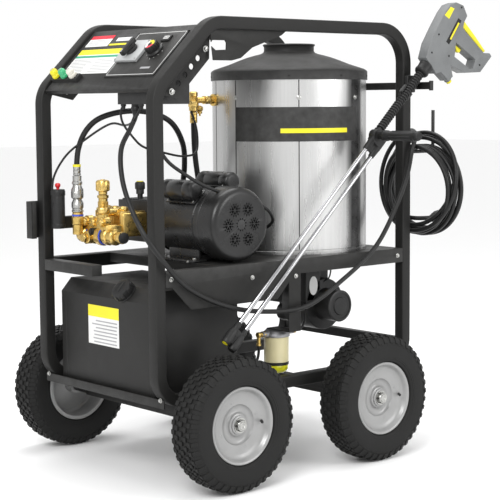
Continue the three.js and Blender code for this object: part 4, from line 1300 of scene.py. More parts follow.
@dataclass
class ControlPanel:
    """The slanted console with its plate, switch, dial, spare nozzles and labels."""

    plate_top: float = 3.3
    border: tuple[float, float, float, float] = (52.0, 234.0, -238.0, -2.0)
    switch: tuple[float, float] = (150.0, -52.0)
    dial: tuple[float, float] = (150.0, -160.0)
    nozzle_s: float = 42.0

    def on_panel(self, obj: Obj, finish: Finish, body: str = "root", nodes: tuple[str, ...] = ()) -> None:
        """Puts a piece drawn on the panel in place, and dresses it."""
        dress(settle(obj, PANEL), finish, body, nodes)

    def tile(self, name: str, s0: float, s1: float, y0: float, y1: float, rise: float, finish: Finish) -> None:
        """A thin flat label on the panel, between two heights up the slope and two places across."""
        self.on_panel(brick(name, (s0, y0, rise), (s1, y1, rise + 0.5), 0.2, 1), finish)

    def build(self) -> None:
        """Makes the console and everything on it."""
        restyle("control_console", "console_shell", 1.5, POWDER)
        restyle("control_plate", "console_plate", 0.8, SHEET)
        restyle("control_box", "junction_box", 4, PLASTIC, segments=3)
        s0, s1, y0, y1 = self.border
        top = self.plate_top + 0.1
        lines = [brick("line", a, b, 0.1, 1) for a, b in (
            ((s0, y0, top), (s0 + 1.8, y1, top + 0.3)), ((s1 - 1.8, y0, top), (s1, y1, top + 0.3)),
            ((s0, y0, top), (s1, y0 + 1.8, top + 0.3)), ((s0, y1 - 1.8, top), (s1, y1, top + 0.3)),
        )]
        self.on_panel(gather("plate_border", lines), PAPER)
        heads = [PANEL @ shift(s, y, top - 0.1) for s in (44 + 6, 235) for y in (-241, 1)]
        dress(spread("plate_screws", screw("plate_screw", 3), heads), POWDER)
        self.on_panel(brick("panel_seam", (40.5, -246, 0.1), (42.5, 4, 0.7), 0.2, 1), VOID)
        self.switch_unit()
        self.dial_unit()
        self.meter()
        self.labels()
        self.nozzles()
        self.side_bolts()

    def switch_unit(self) -> None:
        """The grey plate and the lever switch on it."""
        restyle("switch_plate", "switch_base", 1.6, PLATE, segments=3)
        s, y = self.switch
        rise = 13.9
        boss = lathe("boss", [(20.8, rise), (20.8, rise + 7), (19.5, rise + 9), (15.5, rise + 10), (15.5, rise + 15),
                              (14.5, rise + 17)], 40)
        lever = brick("lever", (s - 37.5, y - 7.6, rise + 9), (s + 29.5, y + 7.6, rise + 25.6), 3.2, 3)
        cheeks = [brick("cheek", (s - 33, y + k * 8.4 - 1, rise + 11), (s + 25, y + k * 8.4 + 1, rise + 22), 0.8, 1)
                  for k in (-1, 1)]
        lever_piece = gather("switch_lever", [settle(boss, shift(s, y, 0)), lever, *cheeks])
        self.on_panel(lever_piece, PLASTIC, "switch_knob", ("switch_knob",))
        mark = brick("switch_mark", (s - 36, y - 0.9, rise + 25.6), (s - 22, y + 0.9, rise + 25.9), 0.1, 1)
        self.on_panel(mark, PAPER, "switch_knob")
        heads = [PANEL @ shift(a, b, 13.6) for a in (111, 189) for b in (-102, -3)]
        dress(spread("switch_screws", screw("switch_screw", 3), heads), ZINC)
        ring = lathe("switch_ring", [(22.5, 13.4), (25, 13.4), (25, 13.8), (22.5, 13.8)], 48, closed=True)
        self.on_panel(settle(ring, shift(s, y, 0.1)), PRINT)

    def dial_unit(self) -> None:
        """The fluted dial with its three-coloured face."""
        s, y = self.dial
        foot = self.plate_top + 0.3
        body = lathe("body", [(26.8, foot), (26.8, foot + 5), (24, foot + 8.5), (22, foot + 10), (21.4, foot + 26),
                              (20.4, foot + 28.6), (18.6, foot + 29.6)], 48)
        flutes = spokes((20.6, -1.5, foot + 9), (23.2, 1.5, foot + 27), 0.9, 2, 16)
        dial = settle(gather("dial_body", [body, *flutes]), shift(s, y, 0))
        self.on_panel(dial, PLASTIC, "dial_knob", ("dial_knob",))
        top = foot + 29.5
        sectors = ((40, 160, PAPER, "white"), (160, 270, LABEL_RED, "red"), (270, 400, LABEL_YELLOW, "yellow"))
        for start, end, finish, word in sectors:
            count = 12
            arc = [math.radians(start + (end - start) * k / count) for k in range(count + 1)]
            outline = [(17 * math.cos(a), 17 * math.sin(a)) for a in arc]
            outline += [(8 * math.cos(a), 8 * math.sin(a)) for a in reversed(arc)]
            face = slab(f"dial_face_{word}", outline, 0.4)
            self.on_panel(settle(face, shift(s, y, top)), finish, "dial_knob")
        ticks = [settle(brick("tick", (29.5, -0.6, 0), (33 if k % 3 else 35, 0.6, 0.3), 0.1, 1),
                        shift(s, y, self.plate_top + 0.1) @ rot("Z", 30 * k))
                 for k in range(10)]
        self.on_panel(gather("dial_ticks", ticks), PAPER)

    def meter(self) -> None:
        """The small hour counter above the dial."""
        bezel = brick("meter_bezel", (191.5, -186.5, 3.4), (216.5, -147.5, 8.6), 1.6, 3)
        self.on_panel(bezel, PLASTIC)
        self.tile("meter_window", 199, 211, -180, -155, 8.5, PAPER)
        digits = [brick("digit", (202, -178 + 4.6 * k, 9.0), (208, -175 + 4.6 * k, 9.1), 0.02, 1) for k in range(5)]
        self.on_panel(gather("meter_drums", digits), VOID)

    def rows(self, name: str, s0: float, s1: float, y0: float, y1: float, count: int, rise: float, seed: int) -> None:
        """Rows of plain bars on a label, standing for its small print.

        Args:
            name: The piece's name.
            s0, s1: How far up the slope the rows reach.
            y0, y1: How far across they reach.
            count: How many rows there are.
            rise: Their height over the panel.
            seed: Seeds how the rows' ends stray.
        """
        draw = random.Random(seed)
        step = (s1 - s0) / count
        bars = []
        for k in range(count):
            low = s0 + (k + 0.3) * step
            ends = (y0 + draw.uniform(0, 0.25) * (y1 - y0), y1)
            bars.append(brick("bar", (low, ends[0], rise), (low + step * 0.36, ends[1], rise + 0.2), 0.05, 1))
        self.on_panel(gather(name, bars), PRINT)

    def labels(self) -> None:
        """The generic labels on the left of the panel."""
        for name, s0, s1, y0, y1, rise, finish in (
            ("notice_head", 224, 240, 132, 254, 0.15, LABEL_RED), ("notice_body", 190, 224, 132, 254, 0.15, PAPER),
            ("name_field", 200, 240, 14, 126, 0.15, LABEL_BLACK),
            ("name_stripe", 192, 200, 14, 126, 0.15, LABEL_YELLOW),
            ("name_block", 210, 226, 30, 104, 0.65, PAPER), ("care_strip", 152, 176, 12, 254, 0.15, LABEL_YELLOW),
            ("care_gap", 148, 152, 12, 254, 0.15, PAPER), ("care_green", 138, 148, 12, 254, 0.15, LABEL_GREEN),
            ("care_body", 66, 138, 12, 254, 0.15, PAPER), ("plate_caption", 76, 84, -196, -150, 3.4, PRINT),
        ):
            self.tile(name, s0, s1, y0, y1, rise, finish)
        self.rows("notice_rows", 193, 221, 140, 248, 5, 0.65, 3)
        self.rows("care_rows_left", 72, 132, 138, 248, 9, 0.65, 5)
        self.rows("care_rows_right", 72, 132, 20, 124, 9, 0.65, 7)

    def nozzles(self) -> None:
        """The three spare spray nozzles in their holder."""
        for word, y, finish in (("yellow", 240, YELLOW), ("green", 195, GREEN), ("white", 150, WHITE)):
            collar = [(6.8, 2.6), (6.8, 14.4), (13, 14.6), (14, 16), (14, 23), (13.2, 25), (12.2, 25.6), (12.2, 36),
                      (11, 39), (8, 41.5), (7.6, 43.6), (6.5, 44)]
            obj = settle(lathe(f"nozzle_collar_{word}", collar, 40), shift(self.nozzle_s, y, 0))
            self.on_panel(obj, finish, f"nozzle_{word}", (f"nozzle_{word}",))
            tip = [(5.6, 43.8), (5.6, 44.2), (3, 44.3), (2.6, 43)]
            obj = settle(lathe(f"nozzle_tip_{word}", tip, 24), shift(self.nozzle_s, y, 0))
            self.on_panel(obj, ZINC, f"nozzle_{word}")

    def side_bolts(self) -> None:
        """The bolts through the console's side plates, one by each end of each plate."""
        places = []
        for s in (45, 225):
            foot = PANEL @ shift(s, 0, -62)
            for side, turn in ((-1, TO_NEAR), (1, TO_Y)):
                places.append(foot @ shift(0, side * 272.9, 0) @ turn)
        dress(spread("console_bolts", bolt("console_bolt", 8), places), ZINC)


# ---- boiler and burner --------------------------------------------------------------------------


@dataclass
class Boiler:
    """The stainless drum with its lid, badge, straps and brass inlet, and the burner under it."""

    centre: tuple[float, float] = (300.0, -20.0)
    radius: float = 257.0
    foot: float = 653.8
    top: float = 1238.0
    facing: float = 227.6

    def around(self, turn: float, radius: float, z: float) -> Matrix:
        """A place on the drum with its own Z pointing out.

        Args:
            turn: The angle from the middle of the drum's front, in degrees.
            radius: How far from the drum's axis it is.
            z: Its height.

        Returns:
            The place.
        """
        angle = rot("Z", self.facing + turn)
        return at(*self.centre, z) @ angle @ shift(radius, 0, 0) @ TO_X

    def wrap(self, name: str, start: float, end: float, low: float, high: float, radius: float, depth: float):
        """A curved plate on the drum.

        Args:
            name: The piece's name.
            start, end: The angles it runs between, in degrees from the drum's front.
            low, high: The heights it runs between.
            radius: Its inside radius.
            depth: Its thickness.

        Returns:
            The plate.
        """
        obj = brick(name, (radius, -0.5, low), (radius + depth, 0.5, high), 0.2, 1)
        edit(obj, "DESELECT")
        leave()
        for face in obj.data.polygons:
            face.select = face.normal.y > 0.9 and abs(face.center.y - 0.0005) < 1e-6
        pick(obj)
        bpy.ops.object.mode_set(mode="EDIT")
        bpy.ops.mesh.spin(steps=max(1, round((end - start) / 3)), angle=math.radians(start - end),
                          center=(0, 0, 0), axis=(0, 0, 1))
        leave()
        seal(obj)
        for face in obj.data.polygons:
            face.use_smooth = True
        return settle(obj, at(*self.centre, 0) @ rot("Z", self.facing + start))

    def build(self) -> None:
        """Makes the boiler's pieces."""
        r, top, foot = self.radius, self.top, self.foot
        shell = [(r - 3, foot), (r, foot), (r, foot + 9), (r - 1.2, foot + 10.5), (r - 1.2, foot + 13),
                 (r, foot + 14.5), (r, 930), (r, top - 1), (r - 3, top - 1), (r - 3, 930)]
        place = at(*self.centre, 0)
        # STAINLESS carries painted reflections: bright and dark stripes round the drum.
        turned("drum", shell, place, STAINLESS, stands_for=("boiler_shell",), sides=128, closed=True)
        skirt = r + 4.3
        stack = 85
        lid = [
            (r + 0.4, top - 25), (skirt, top - 25), (skirt, top + 2), (skirt - 1.5, top + 5), (skirt - 6, top + 8.5),
            (skirt - 12, top + 12), (200, top + 28), (165, top + 42), (140, top + 51), (115, top + 58),
            (98, top + 62), (stack + 4, top + 65.5), (stack, top + 69), (stack - 1.5, top + 72),
            (stack - 1.5, top + 86),
            (stack, top + 88), (stack + 2, top + 90), (stack + 2, top + 93), (stack - 0.5, top + 94.8),
            (stack - 4, top + 94), (stack - 5, top + 60), (115, top + 54), (165, top + 37), (skirt - 14, top + 7),
            (r + 0.4, top + 1),
        ]
        turned("drum_lid", lid, place, POWDER, stands_for=("boiler_lid",), sides=128, closed=True)
        dress(self.wrap("badge", -42, 57, 1016, 1126, r + 0.3, 1.2), SHEET)
        dress(self.wrap("badge_stripe", -6, 46, 1043, 1058, r + 1.6, 0.5), LABEL_YELLOW)
        for n, turn in enumerate((-69, -42, 7, 63, 150, 215)):
            dress(self.wrap(f"drum_seam_{n}", turn - 0.25, turn + 0.25, foot + 16, top - 26, r + 0.05, 0.5), VOID)
        dress(self.wrap("drum_strap", 52, 61, foot + 16, top - 26, r + 0.1, 0.6), STRAP)
        places = [self.around(t, r + 0.6, 1156) for t in (-42, 7, 56, 150)]
        dress(spread("drum_bolts", bolt("drum_bolt", 6), places), ZINC)
        places = [self.around(t, skirt, top - 12) for t in range(-160, 180, 40)]
        dress(spread("lid_screws", screw("lid_screw", 3.6), places), POWDER)
        collar = [(150, 606), (152, 606), (156, 640), (156, 648), (150, 648)]
        turned("drum_foot_collar", collar, place, SHEET, sides=64)
        recolour("heating_coil", CAST_STEEL)
        self.inlet()
        self.burner()

    def inlet(self) -> None:
        """The brass elbow, tee and relief valve on the drum's side."""
        tee = at(-30, 80, 0)
        column = [(10, 1111.8), (11, 1114), (15, 1116), (15, 1127), (13, 1128)]
        parts = [
            lathe("tee_low", column, 32),
            hexagon("tee_hex", 17.6, 1128, 1146),
            lathe("tee_top", [(13, 1145)] + threads(13.4, 1146, 1160, 2.4) + [(12, 1161), (14.5, 1163), (14.5, 1174),
                                                                                 (11, 1177), (6, 1178)], 32),
        ]
        for part in parts:
            settle(part, tee)
        across = 80 - self.centre[1]
        run = self.centre[0] - math.sqrt(self.radius ** 2 - across ** 2) + 30 - 1
        arm = lathe("arm", [(9.8, 0)] + threads(9.8, 12, run * 0.45, 2.2) + [(13, run * 0.45), (13, run - 12),
                                                                             (19.6, run - 11), (19.6, run)], 32)
        nut = hexagon("arm_nut", 15, run * 0.5, run * 0.78)
        valve = lathe("valve", [(7.6, 0), (7.6, 12), (10.5, 13), (10.5, 27), (8, 28), (8, 34)], 24)
        drain = lathe("drain", [(6, 0), (6, 8), (8, 9), (8, 16), (3, 17), (3, 24)], 20)
        settle(arm, at(-30, 80, 1150, TO_X))
        settle(nut, at(-30, 80, 1150, TO_X))
        settle(valve, at(-30, 80, 1122, TO_X))
        settle(drain, at(-4, 80, 1122, FLIP))
        dress(gather("drum_inlet", [*parts, arm, nut, valve, drain]), BRASS, stands_for=("boiler_fitting",))

    def burner(self) -> None:
        """The burner's housing, blower, fuel fittings and plain badge."""
        restyle("burner", "burner_case", 3, CASTING, segments=3)
        x, y, z = 310, -250, 475
        rings = lathe("burner_motor_end", [(52, 0), (52, 3), (47, 5), (44, 5), (44, 3), (30, 3), (28, 6), (12, 8)], 48)
        settle(rings, at(x, y, z, TO_NEAR))
        dress(rings, CASTING)
        oval = lathe("burner_badge", [(23, 0), (23, 0.8)], 48)
        settle(oval, Matrix.Diagonal((0.8, 1.35, 1, 1)))
        settle(oval, at(258, -180.5, 540, TO_NEAR))
        case = brick("burner_control", (225, -180, 488), (292, -120, 610), 5, 3)
        placed(case, CASTING)
        dress(oval, PAPER)
        elbows = []
        for ex, ez in ((228, 622), (272, 618)):
            elbows.append(settle(hexagon("elbow", 9, 0, 18), at(ex, -178, ez, TO_X)))
            elbows.append(settle(lathe("stub", threads(7, 0, 16, 2.2), 20), at(ex + 18, -178, ez, TO_X)))
            elbows.append(settle(hexagon("drop", 8, 0, 16), at(ex + 4, -178, ez, FLIP)))
        dress(gather("burner_elbows", elbows), BRASS)
        plate = brick("burner_plate", (214, -176, 600), (300, -172, 650), 1, 1)
        placed(plate, SHEET)
        line = smooth_line([(310, -178, 618), (322, -186, 612), (328, -190, 590), (322, -186, 560), (304, -178, 548),
                            (292, -168, 540)], 4)
        loop = flex("igniter_lead", line, 2.6, JACKET)
        tuple(line[0])
        round(run_of(line), 3)


# ---- motor --------------------------------------------------------------------------------------


@dataclass
class Motor:
    """The electric motor: shell, end bell, fan cover with rosettes of vents, and capacitor covers."""

    axis: tuple[float, float] = (-145.0, 772.0)
    radius: float = 105.0
    front: float = -195.0
    back: float = 15.0
    cover_radius: float = 114.0
    cover_front: float = -291.3

    def build(self) -> None:
        """Makes the motor's pieces."""
        x, z = self.axis
        place = at(x, 0, z, TO_Y)
        r, front, back = self.radius, self.front, self.back
        barrel = [(14.6, front), (r, front), (r, front + 5), (r - 2, front + 7), (r - 2, front + 14), (r, front + 16),
                  (r, back - 16), (r - 2, back - 14), (r - 2, back - 7), (r, back - 5), (r, back), (r - 14, back),
                  (r - 14, front + 12), (14.6, front + 12)]
        shell = settle(lathe("shell", barrel, 96, closed=True), place)
        feet = [brick("foot", (x + a, front + 14, 653.9), (x + b, back - 16, 661), 1.5)
                for a, b in ((-98, -46), (46, 98))]
        webs = [brick("web", (x + a, front + 30, 658), (x + b, back - 30, 694), 4, 3)
                for a, b in ((-66, -50), (50, 66))]
        base = brick("base", (x - 60, front + 34, 656), (x + 60, back - 34, 672), 3, 2)
        parts = [settle(part, DRAWING) for part in (*feet, *webs, base)]
        dress(gather("motor_barrel", [shell, *parts]), BARREL, stands_for=("motor_shell",))
        bell = [(14.6, back + 0.4), (r - 4, back + 0.4), (r - 2, back + 3), (r - 2, back + 10), (r - 8, back + 17),
                (r - 22, back + 22), (60, back + 29), (14.6, back + 30)]
        ribs = spokes((24, -3, back + 12), (88, 3, back + 29.6), 1.5, 2, 8)
        lathed = lathe("bell", bell, 96, closed=True)
        dress(settle(gather("motor_bell", [lathed, *ribs]), place), CASTING, stands_for=("motor_end_bell",))
        self.fan_cover(place)
        self.capacitors()
        heads = [at(x + a, b, 661) for a in (-84, 84) for b in (front + 28, back - 30)]
        dress(spread("motor_bolts", bolt("motor_bolt", 7), heads), ZINC)
        ends = [place @ rot("Z", 45 + 90 * k) @ shift(92, 0, self.cover_front + 5.5) @ FLIP
                for k in range(4)]
        dress(spread("fan_cover_screws", screw("fan_cover_screw", 4), ends), ZINC)
        recolour("motor_rotor", CAST_STEEL)
        box = brick("lead_box", (x + 96, -190, 700), (x + 130, -110, 790), 4, 3)
        placed(box, CASTING)

    def fan_cover(self, place: Matrix) -> None:
        """The domed cover, with vents cut in its face: six rosettes of petals and seven rings of rays.

        Args:
            place: Where the motor's axis is.
        """
        r, front, back = self.cover_radius, self.cover_front, self.front - 0.3
        dome = [(6, front), (92, front), (98, front + 1), (104, front + 3.6), (109, front + 8), (112.5, front + 14),
                (r, front + 22), (r, back - 9), (r - 3, back - 6), (r - 3, back), (r - 19, back), (r - 19, back - 3),
                (r - 6, back - 3), (r - 6, front + 22), (r - 9, front + 12), (r - 16, front + 5), (90, front + 3),
                (6, front + 3)]
        cover = lathe("fan_cover", dome, 96, closed=True)
        cap = lathe("cap", [(6.2, front), (6.2, front + 3)], 32)
        cover = gather("fan_cover", [cover, cap])
        inner = slab("vent", [(3.6, -0.9), (12.6, -5.8), (12.6, 5.8), (3.6, 0.9)], 12)
        outer = slab("vent_outer", [(15.2, -3.2), (22.6, 0), (15.2, 3.2)], 12)
        centres = [(0.0, 0.0)] + [(52 * math.cos(math.pi * k / 3), 52 * math.sin(math.pi * k / 3)) for k in range(6)]
        petals = [shift(cx, cy, front - 4) @ Matrix.Rotation(math.pi * k / 3 + math.pi / 6, 4, "Z")
                  for cx, cy in centres[1:] for k in range(6)]
        rays = [shift(cx, cy, front - 4) @ Matrix.Rotation(math.pi * k / 6 + math.pi / 12, 4, "Z")
                for cx, cy in centres for k in range(12)]
        carve(cover, gather("vents", [spread("petals", inner, petals), spread("rays", outer, rays)]))
        seal(cover)
        dress(settle(cover, place), BARREL, stands_for=("motor_fan_cover",))
        turned("fan_shadow", [(90, front + 30), (90, front + 31)], place, VOID, "rotor", sides=64)
        band = [(r + 0.1, back - 24), (r + 1.2, back - 23), (r + 1.2, back - 17), (r + 0.1, back - 16)]
        turned("cover_band", band, place, BARREL, sides=96)

    def capacitors(self) -> None:
        """The two rounded capacitor covers on their feet."""
        x0, z0 = self.axis
        for word, x, z in (("start", -235, 876), ("run", -88, 896)):
            body = [(16, -187), (24, -186), (28.5, -182), (30.4, -176), (30.4, -150), (29.8, -149), (29.8, -147),
                    (30.4, -146), (30.4, -76), (29.8, -75), (29.8, -73), (30.4, -72), (30.4, -44), (28.5, -38),
                    (24, -34.5), (16, -33.6)]
            tube = settle(lathe("can", body, 48), at(x, 0, z, TO_Y))
            reach = math.hypot(x0 - x, z0 - z) - self.radius
            foot = brick("foot", (12, -174, -17.5), (reach, -46, 17.5), 3, 2)
            lean = Matrix.Rotation(-math.atan2(z0 - z, x0 - x), 4, "Y")
            settle(foot, at(x, 0, z, lean))
            flange = brick("flange", (reach - 7, -182, -30), (reach - 2, -38, 30), 2, 2)
            settle(flange, at(x, 0, z, lean))
            cover = gather(f"capacitor_{word}", [tube, foot, flange])
            dress(cover, BARREL, stands_for=(f"capacitor_cover_{word}",))
            heads = [at(x, 0, z, lean) @ shift(reach - 7, y, k * 24) @ TO_BACK
                     for y in (-172, -48) for k in (-1, 1)]
            dress(spread(f"capacitor_screws_{word}", screw("capacitor_screw", 4), heads), ZINC)


# ---- pump ---------------------------------------------------------------------------------------


@dataclass
class Pump:
    """The plunger pump: crankcase, brass manifold with its caps, unloader, swivel and flow switch."""

    outlet: tuple[float, float] = (-415.0, 190.0)
    unloader: tuple[float, float] = (-380.0, 100.0)
    gallery: tuple[float, float] = (-380.0, 728.0)
    face: float = -245.3

    def build(self) -> None:
        """Makes the pump's pieces."""
        self.crankcase()
        self.manifold()
        self.top_fittings()
        self.flow_switch()

    def crankcase(self) -> None:
        """The black case with its fins, cover and oil cap."""
        case = refined("pump_crankcase", "crankcase_body", 4, 3)
        fins = [brick("fin", (-240, 58 + 13 * k, 706), (-62, 62 + 13 * k, 836.5), 1.2, 1) for k in range(11)]
        fins = [settle(fin, DRAWING) for fin in fins]
        cover = settle(soften(slab("cover", [(46 * math.cos(2 * math.pi * k / 40), 46 * math.sin(2 * math.pi * k / 40))
                                             for k in range(40)], 4), 1.2), at(-145, 205.5, 772, TO_Y))
        dress(gather("crankcase", [case, *fins, cover]), CASTING, stands_for=("pump_crankcase",))
        cap = [(9, 866), (15, 867), (16.5, 869), (16.5, 886), (14, 890), (9, 891)]
        turned("oil_cap", cap, at(-221, 120, 0), PLASTIC, sides=12)
        turned("oil_cap_ring", [(10, 891), (12, 891.6), (12, 893), (9, 893.4)], at(-221, 120, 0), YELLOW, sides=32)
        places = [at(-145, 209, 772, TO_Y) @ rot("Z", 60 * k) @ shift(38, 0, 0.4)
                  for k in range(6)]
        dress(spread("crankcase_bolts", bolt("crankcase_bolt", 4.5), places), ZINC)
        glass = [(12, 0), (12, 3), (8, 4), (8, 2)]
        turned("oil_glass", glass, at(-60.4, 130, 745, TO_X), BRASS, sides=32)

    def manifold(self) -> None:
        """The forged brass head with its gallery, valve caps and plugs."""
        face = self.face
        parts = [
            brick("head", (face - 95, 50, 724), (face, 205, 799), 6, 3),
            brick("lower", (-398, 56, 732), (face - 60, 199, 764), 5, 3),
        ]
        for y in (62, 104, 150, 192):
            parts.append(brick("rib", (face - 99, y - 5, 728), (face - 2, y + 5, 803), 3, 2))
        settled = [settle(part, DRAWING) for part in parts]
        gx, gz = self.gallery
        gallery = [(15, 26), (22, 28), (26, 32), (26, 44), (24, 46), (24, 60), (27.5, 63), (27.5, 76), (24, 78),
                   (24, 92), (30.5, 95), (30.5, 113), (24, 116), (24, 134), (27.5, 137), (27.5, 150), (24, 153),
                   (24, 172), (27.5, 176), (27.5, 192), (26, 196), (26, 214), (21, 220), (14, 222)]
        settled.append(settle(lathe("gallery", gallery, 48), at(gx, 0, gz, TO_Y)))
        for y in (85, 128, 171):
            front_cap = gather("cap", [hexagon("a", 15.6, 20, 34), lathe("b", [(17.5, 0), (17.5, 20), (13, 21)], 32),
                                       lathe("c", [(10, 34), (9, 36), (5, 36), (5, 34.5)], 24)])
            settled.append(settle(front_cap, at(-374, y, 772, TO_BACK)))
            top_cap = gather("cap", [hexagon("a", 15.6, 8, 19), lathe("b", [(18, 0), (18, 8), (13, 9)], 32),
                                     lathe("c", [(10, 19), (9, 21), (5, 21), (5, 19.5)], 24)])
            settled.append(settle(top_cap, at(-313, y, 797)))
        stack = [(15, 726), (18.6, 729), (18.6, 760), (15.6, 763), (15.6, 778), (19.5, 781), (19.5, 796), (16, 799),
                 (16, 800)]
        settled.append(settle(lathe("stack", stack, 40), at(*self.unloader, 0)))
        settled.append(settle(hexagon("stack_nut", 21.5, 800, 818), at(*self.unloader, 0)))
        upper = [(17, 817)] + threads(17, 818, 836, 2.4) + [(14.5, 837), (14.5, 846), (18, 848), (18, 856), (12, 858)]
        settled.append(settle(lathe("upper", upper, 40), at(*self.unloader, 0)))
        settled.append(settle(lathe("bridge", [(12, 0), (12, 58)], 24), at(-380, 100, 800, TO_X)))
        post = [(17, 730), (17, 760), (19.5, 763), (19.5, 784), (17, 787), (17, 799.6)]
        settled.append(settle(lathe("post", post, 40), at(*self.outlet, 0)))
        settled.append(settle(lathe("elbow", [(14, 0), (14, 40)], 24), at(-415, 190, 770, TO_X)))
        plug = gather("plug", [hexagon("a", 15.5, 10, 22), lathe("b", [(20.4, -22), (20.4, 8), (17, 10)], 32),
                               lathe("c", [(11, 22), (10, 24)], 24)])
        settled.append(settle(plug, at(-404, 150, 722, TO_BACK)))
        inlet = gather("inlet", [hexagon("a", 17.6, 14, 26), lathe("b", threads(13.5, 24, 36, 2.4), 32),
                                 lathe("c", [(18.4, 2), (19.4, 4), (19.4, 12), (17.6, 14)], 32)])
        settled.append(settle(inlet, at(gx, -6, gz, TO_Y)))
        dress(gather("brass_head", settled), BRASS, stands_for=("pump_manifold",))
        turned("inlet_cap", [(15, -10), (17.4, -9), (17.4, 0), (16, 2)], at(gx, -2, gz, TO_Y), PLASTIC, sides=24)
        for n, (y, radius) in enumerate(((90, 28.0), (166, 25.6))):
            ring = [(radius - 3, y - 2), (radius, y - 2), (radius, y + 2), (radius - 3, y + 2)]
            turned(f"blue_seal_{n}", ring, at(gx, 0, gz, TO_Y), BLUE, closed=True)
        ring = [(15, 788), (18.4, 788), (18.4, 793), (15, 793)]
        turned("blue_seal_post", ring, at(*self.outlet, 0), BLUE, closed=True)
        hole = gather("test_port", [hexagon("a", 12, 0, 10), lathe("b", [(7, 10), (7, 15)], 24)])
        dress(settle(hole, at(-398, 128, 742, TO_BACK)), PLASTIC)

    def top_fittings(self) -> None:
        """The unloader's knurled knob and the steel swivel under the hose."""
        knob = [(12, 858.4), (14, 859), (14, 867), (20, 869.5), (21.3, 872), (21.3, 898), (19, 902), (14, 904)]
        body = lathe("knob", knob, 48)
        knurls = spokes((20.4, -1.1, 872), (22, 1.1, 898), 0.5, 1, 20)
        slot = lathe("slot", [(8, 903.8), (7, 905.5), (3.5, 905.5), (3, 904)], 24)
        piece = settle(gather("unloader_top", [body, *knurls, slot]), at(*self.unloader, 0))
        dress(piece, BRASS, "unloader_knob", ("unloader_knob",))
        swivel = [(16, 800.4), (19, 802), (19, 806), (17, 808), (17, 812), (19, 814), (19, 830), (16, 836), (14, 840),
                  (17, 843), (19.6, 846), (19.6, 872), (15, 880), (14, 886), (16.6, 889), (16.6, 896), (14, 899),
                  (14.6, 914.8)]
        body = lathe("swivel", swivel, 40)
        nuts = [hexagon("n", 20, 815, 829), hexagon("n", 20.6, 848, 866)]
        dress(settle(gather("swivel_body", [body, *nuts]), at(*self.outlet, 0)), ZINC, stands_for=("outlet_swivel",))

    def flow_switch(self) -> None:
        """The black flow switch with its red button."""
        shell = refined("flow_switch", "flow_case", 1.5, 2)
        caps = [lathe("cap", [(22.4, 752), (23.4, 754), (23.4, 762), (22.4, 764)], 40),
                lathe("cap", [(22.4, 852), (23.4, 854), (23.4, 866), (22.4, 868)], 40)]
        caps = [settle(cap, at(-455, 240, 0)) for cap in caps]
        entry = settle(lathe("entry", [(9, 0), (9, 6), (6, 9), (6, 12)], 24),
                       at(-476, 240, 826, TO_BACK))
        settle(entry, shift(10, 0, 0))
        dress(gather("flow_body", [shell, *caps, entry]), PLASTIC, stands_for=("flow_switch",))
        ball = [(4.9, 867.4), (4.9, 877), (6.5, 878.6), (8.6, 881.5), (9, 885), (8.4, 888.4), (6.4, 891), (3, 892)]
        turned("reset_ball", ball, at(-455, 240, 0), RED, "reset_button", ("flow_reset_button",), sides=32)


# ---- fuel ---------------------------------------------------------------------------------------


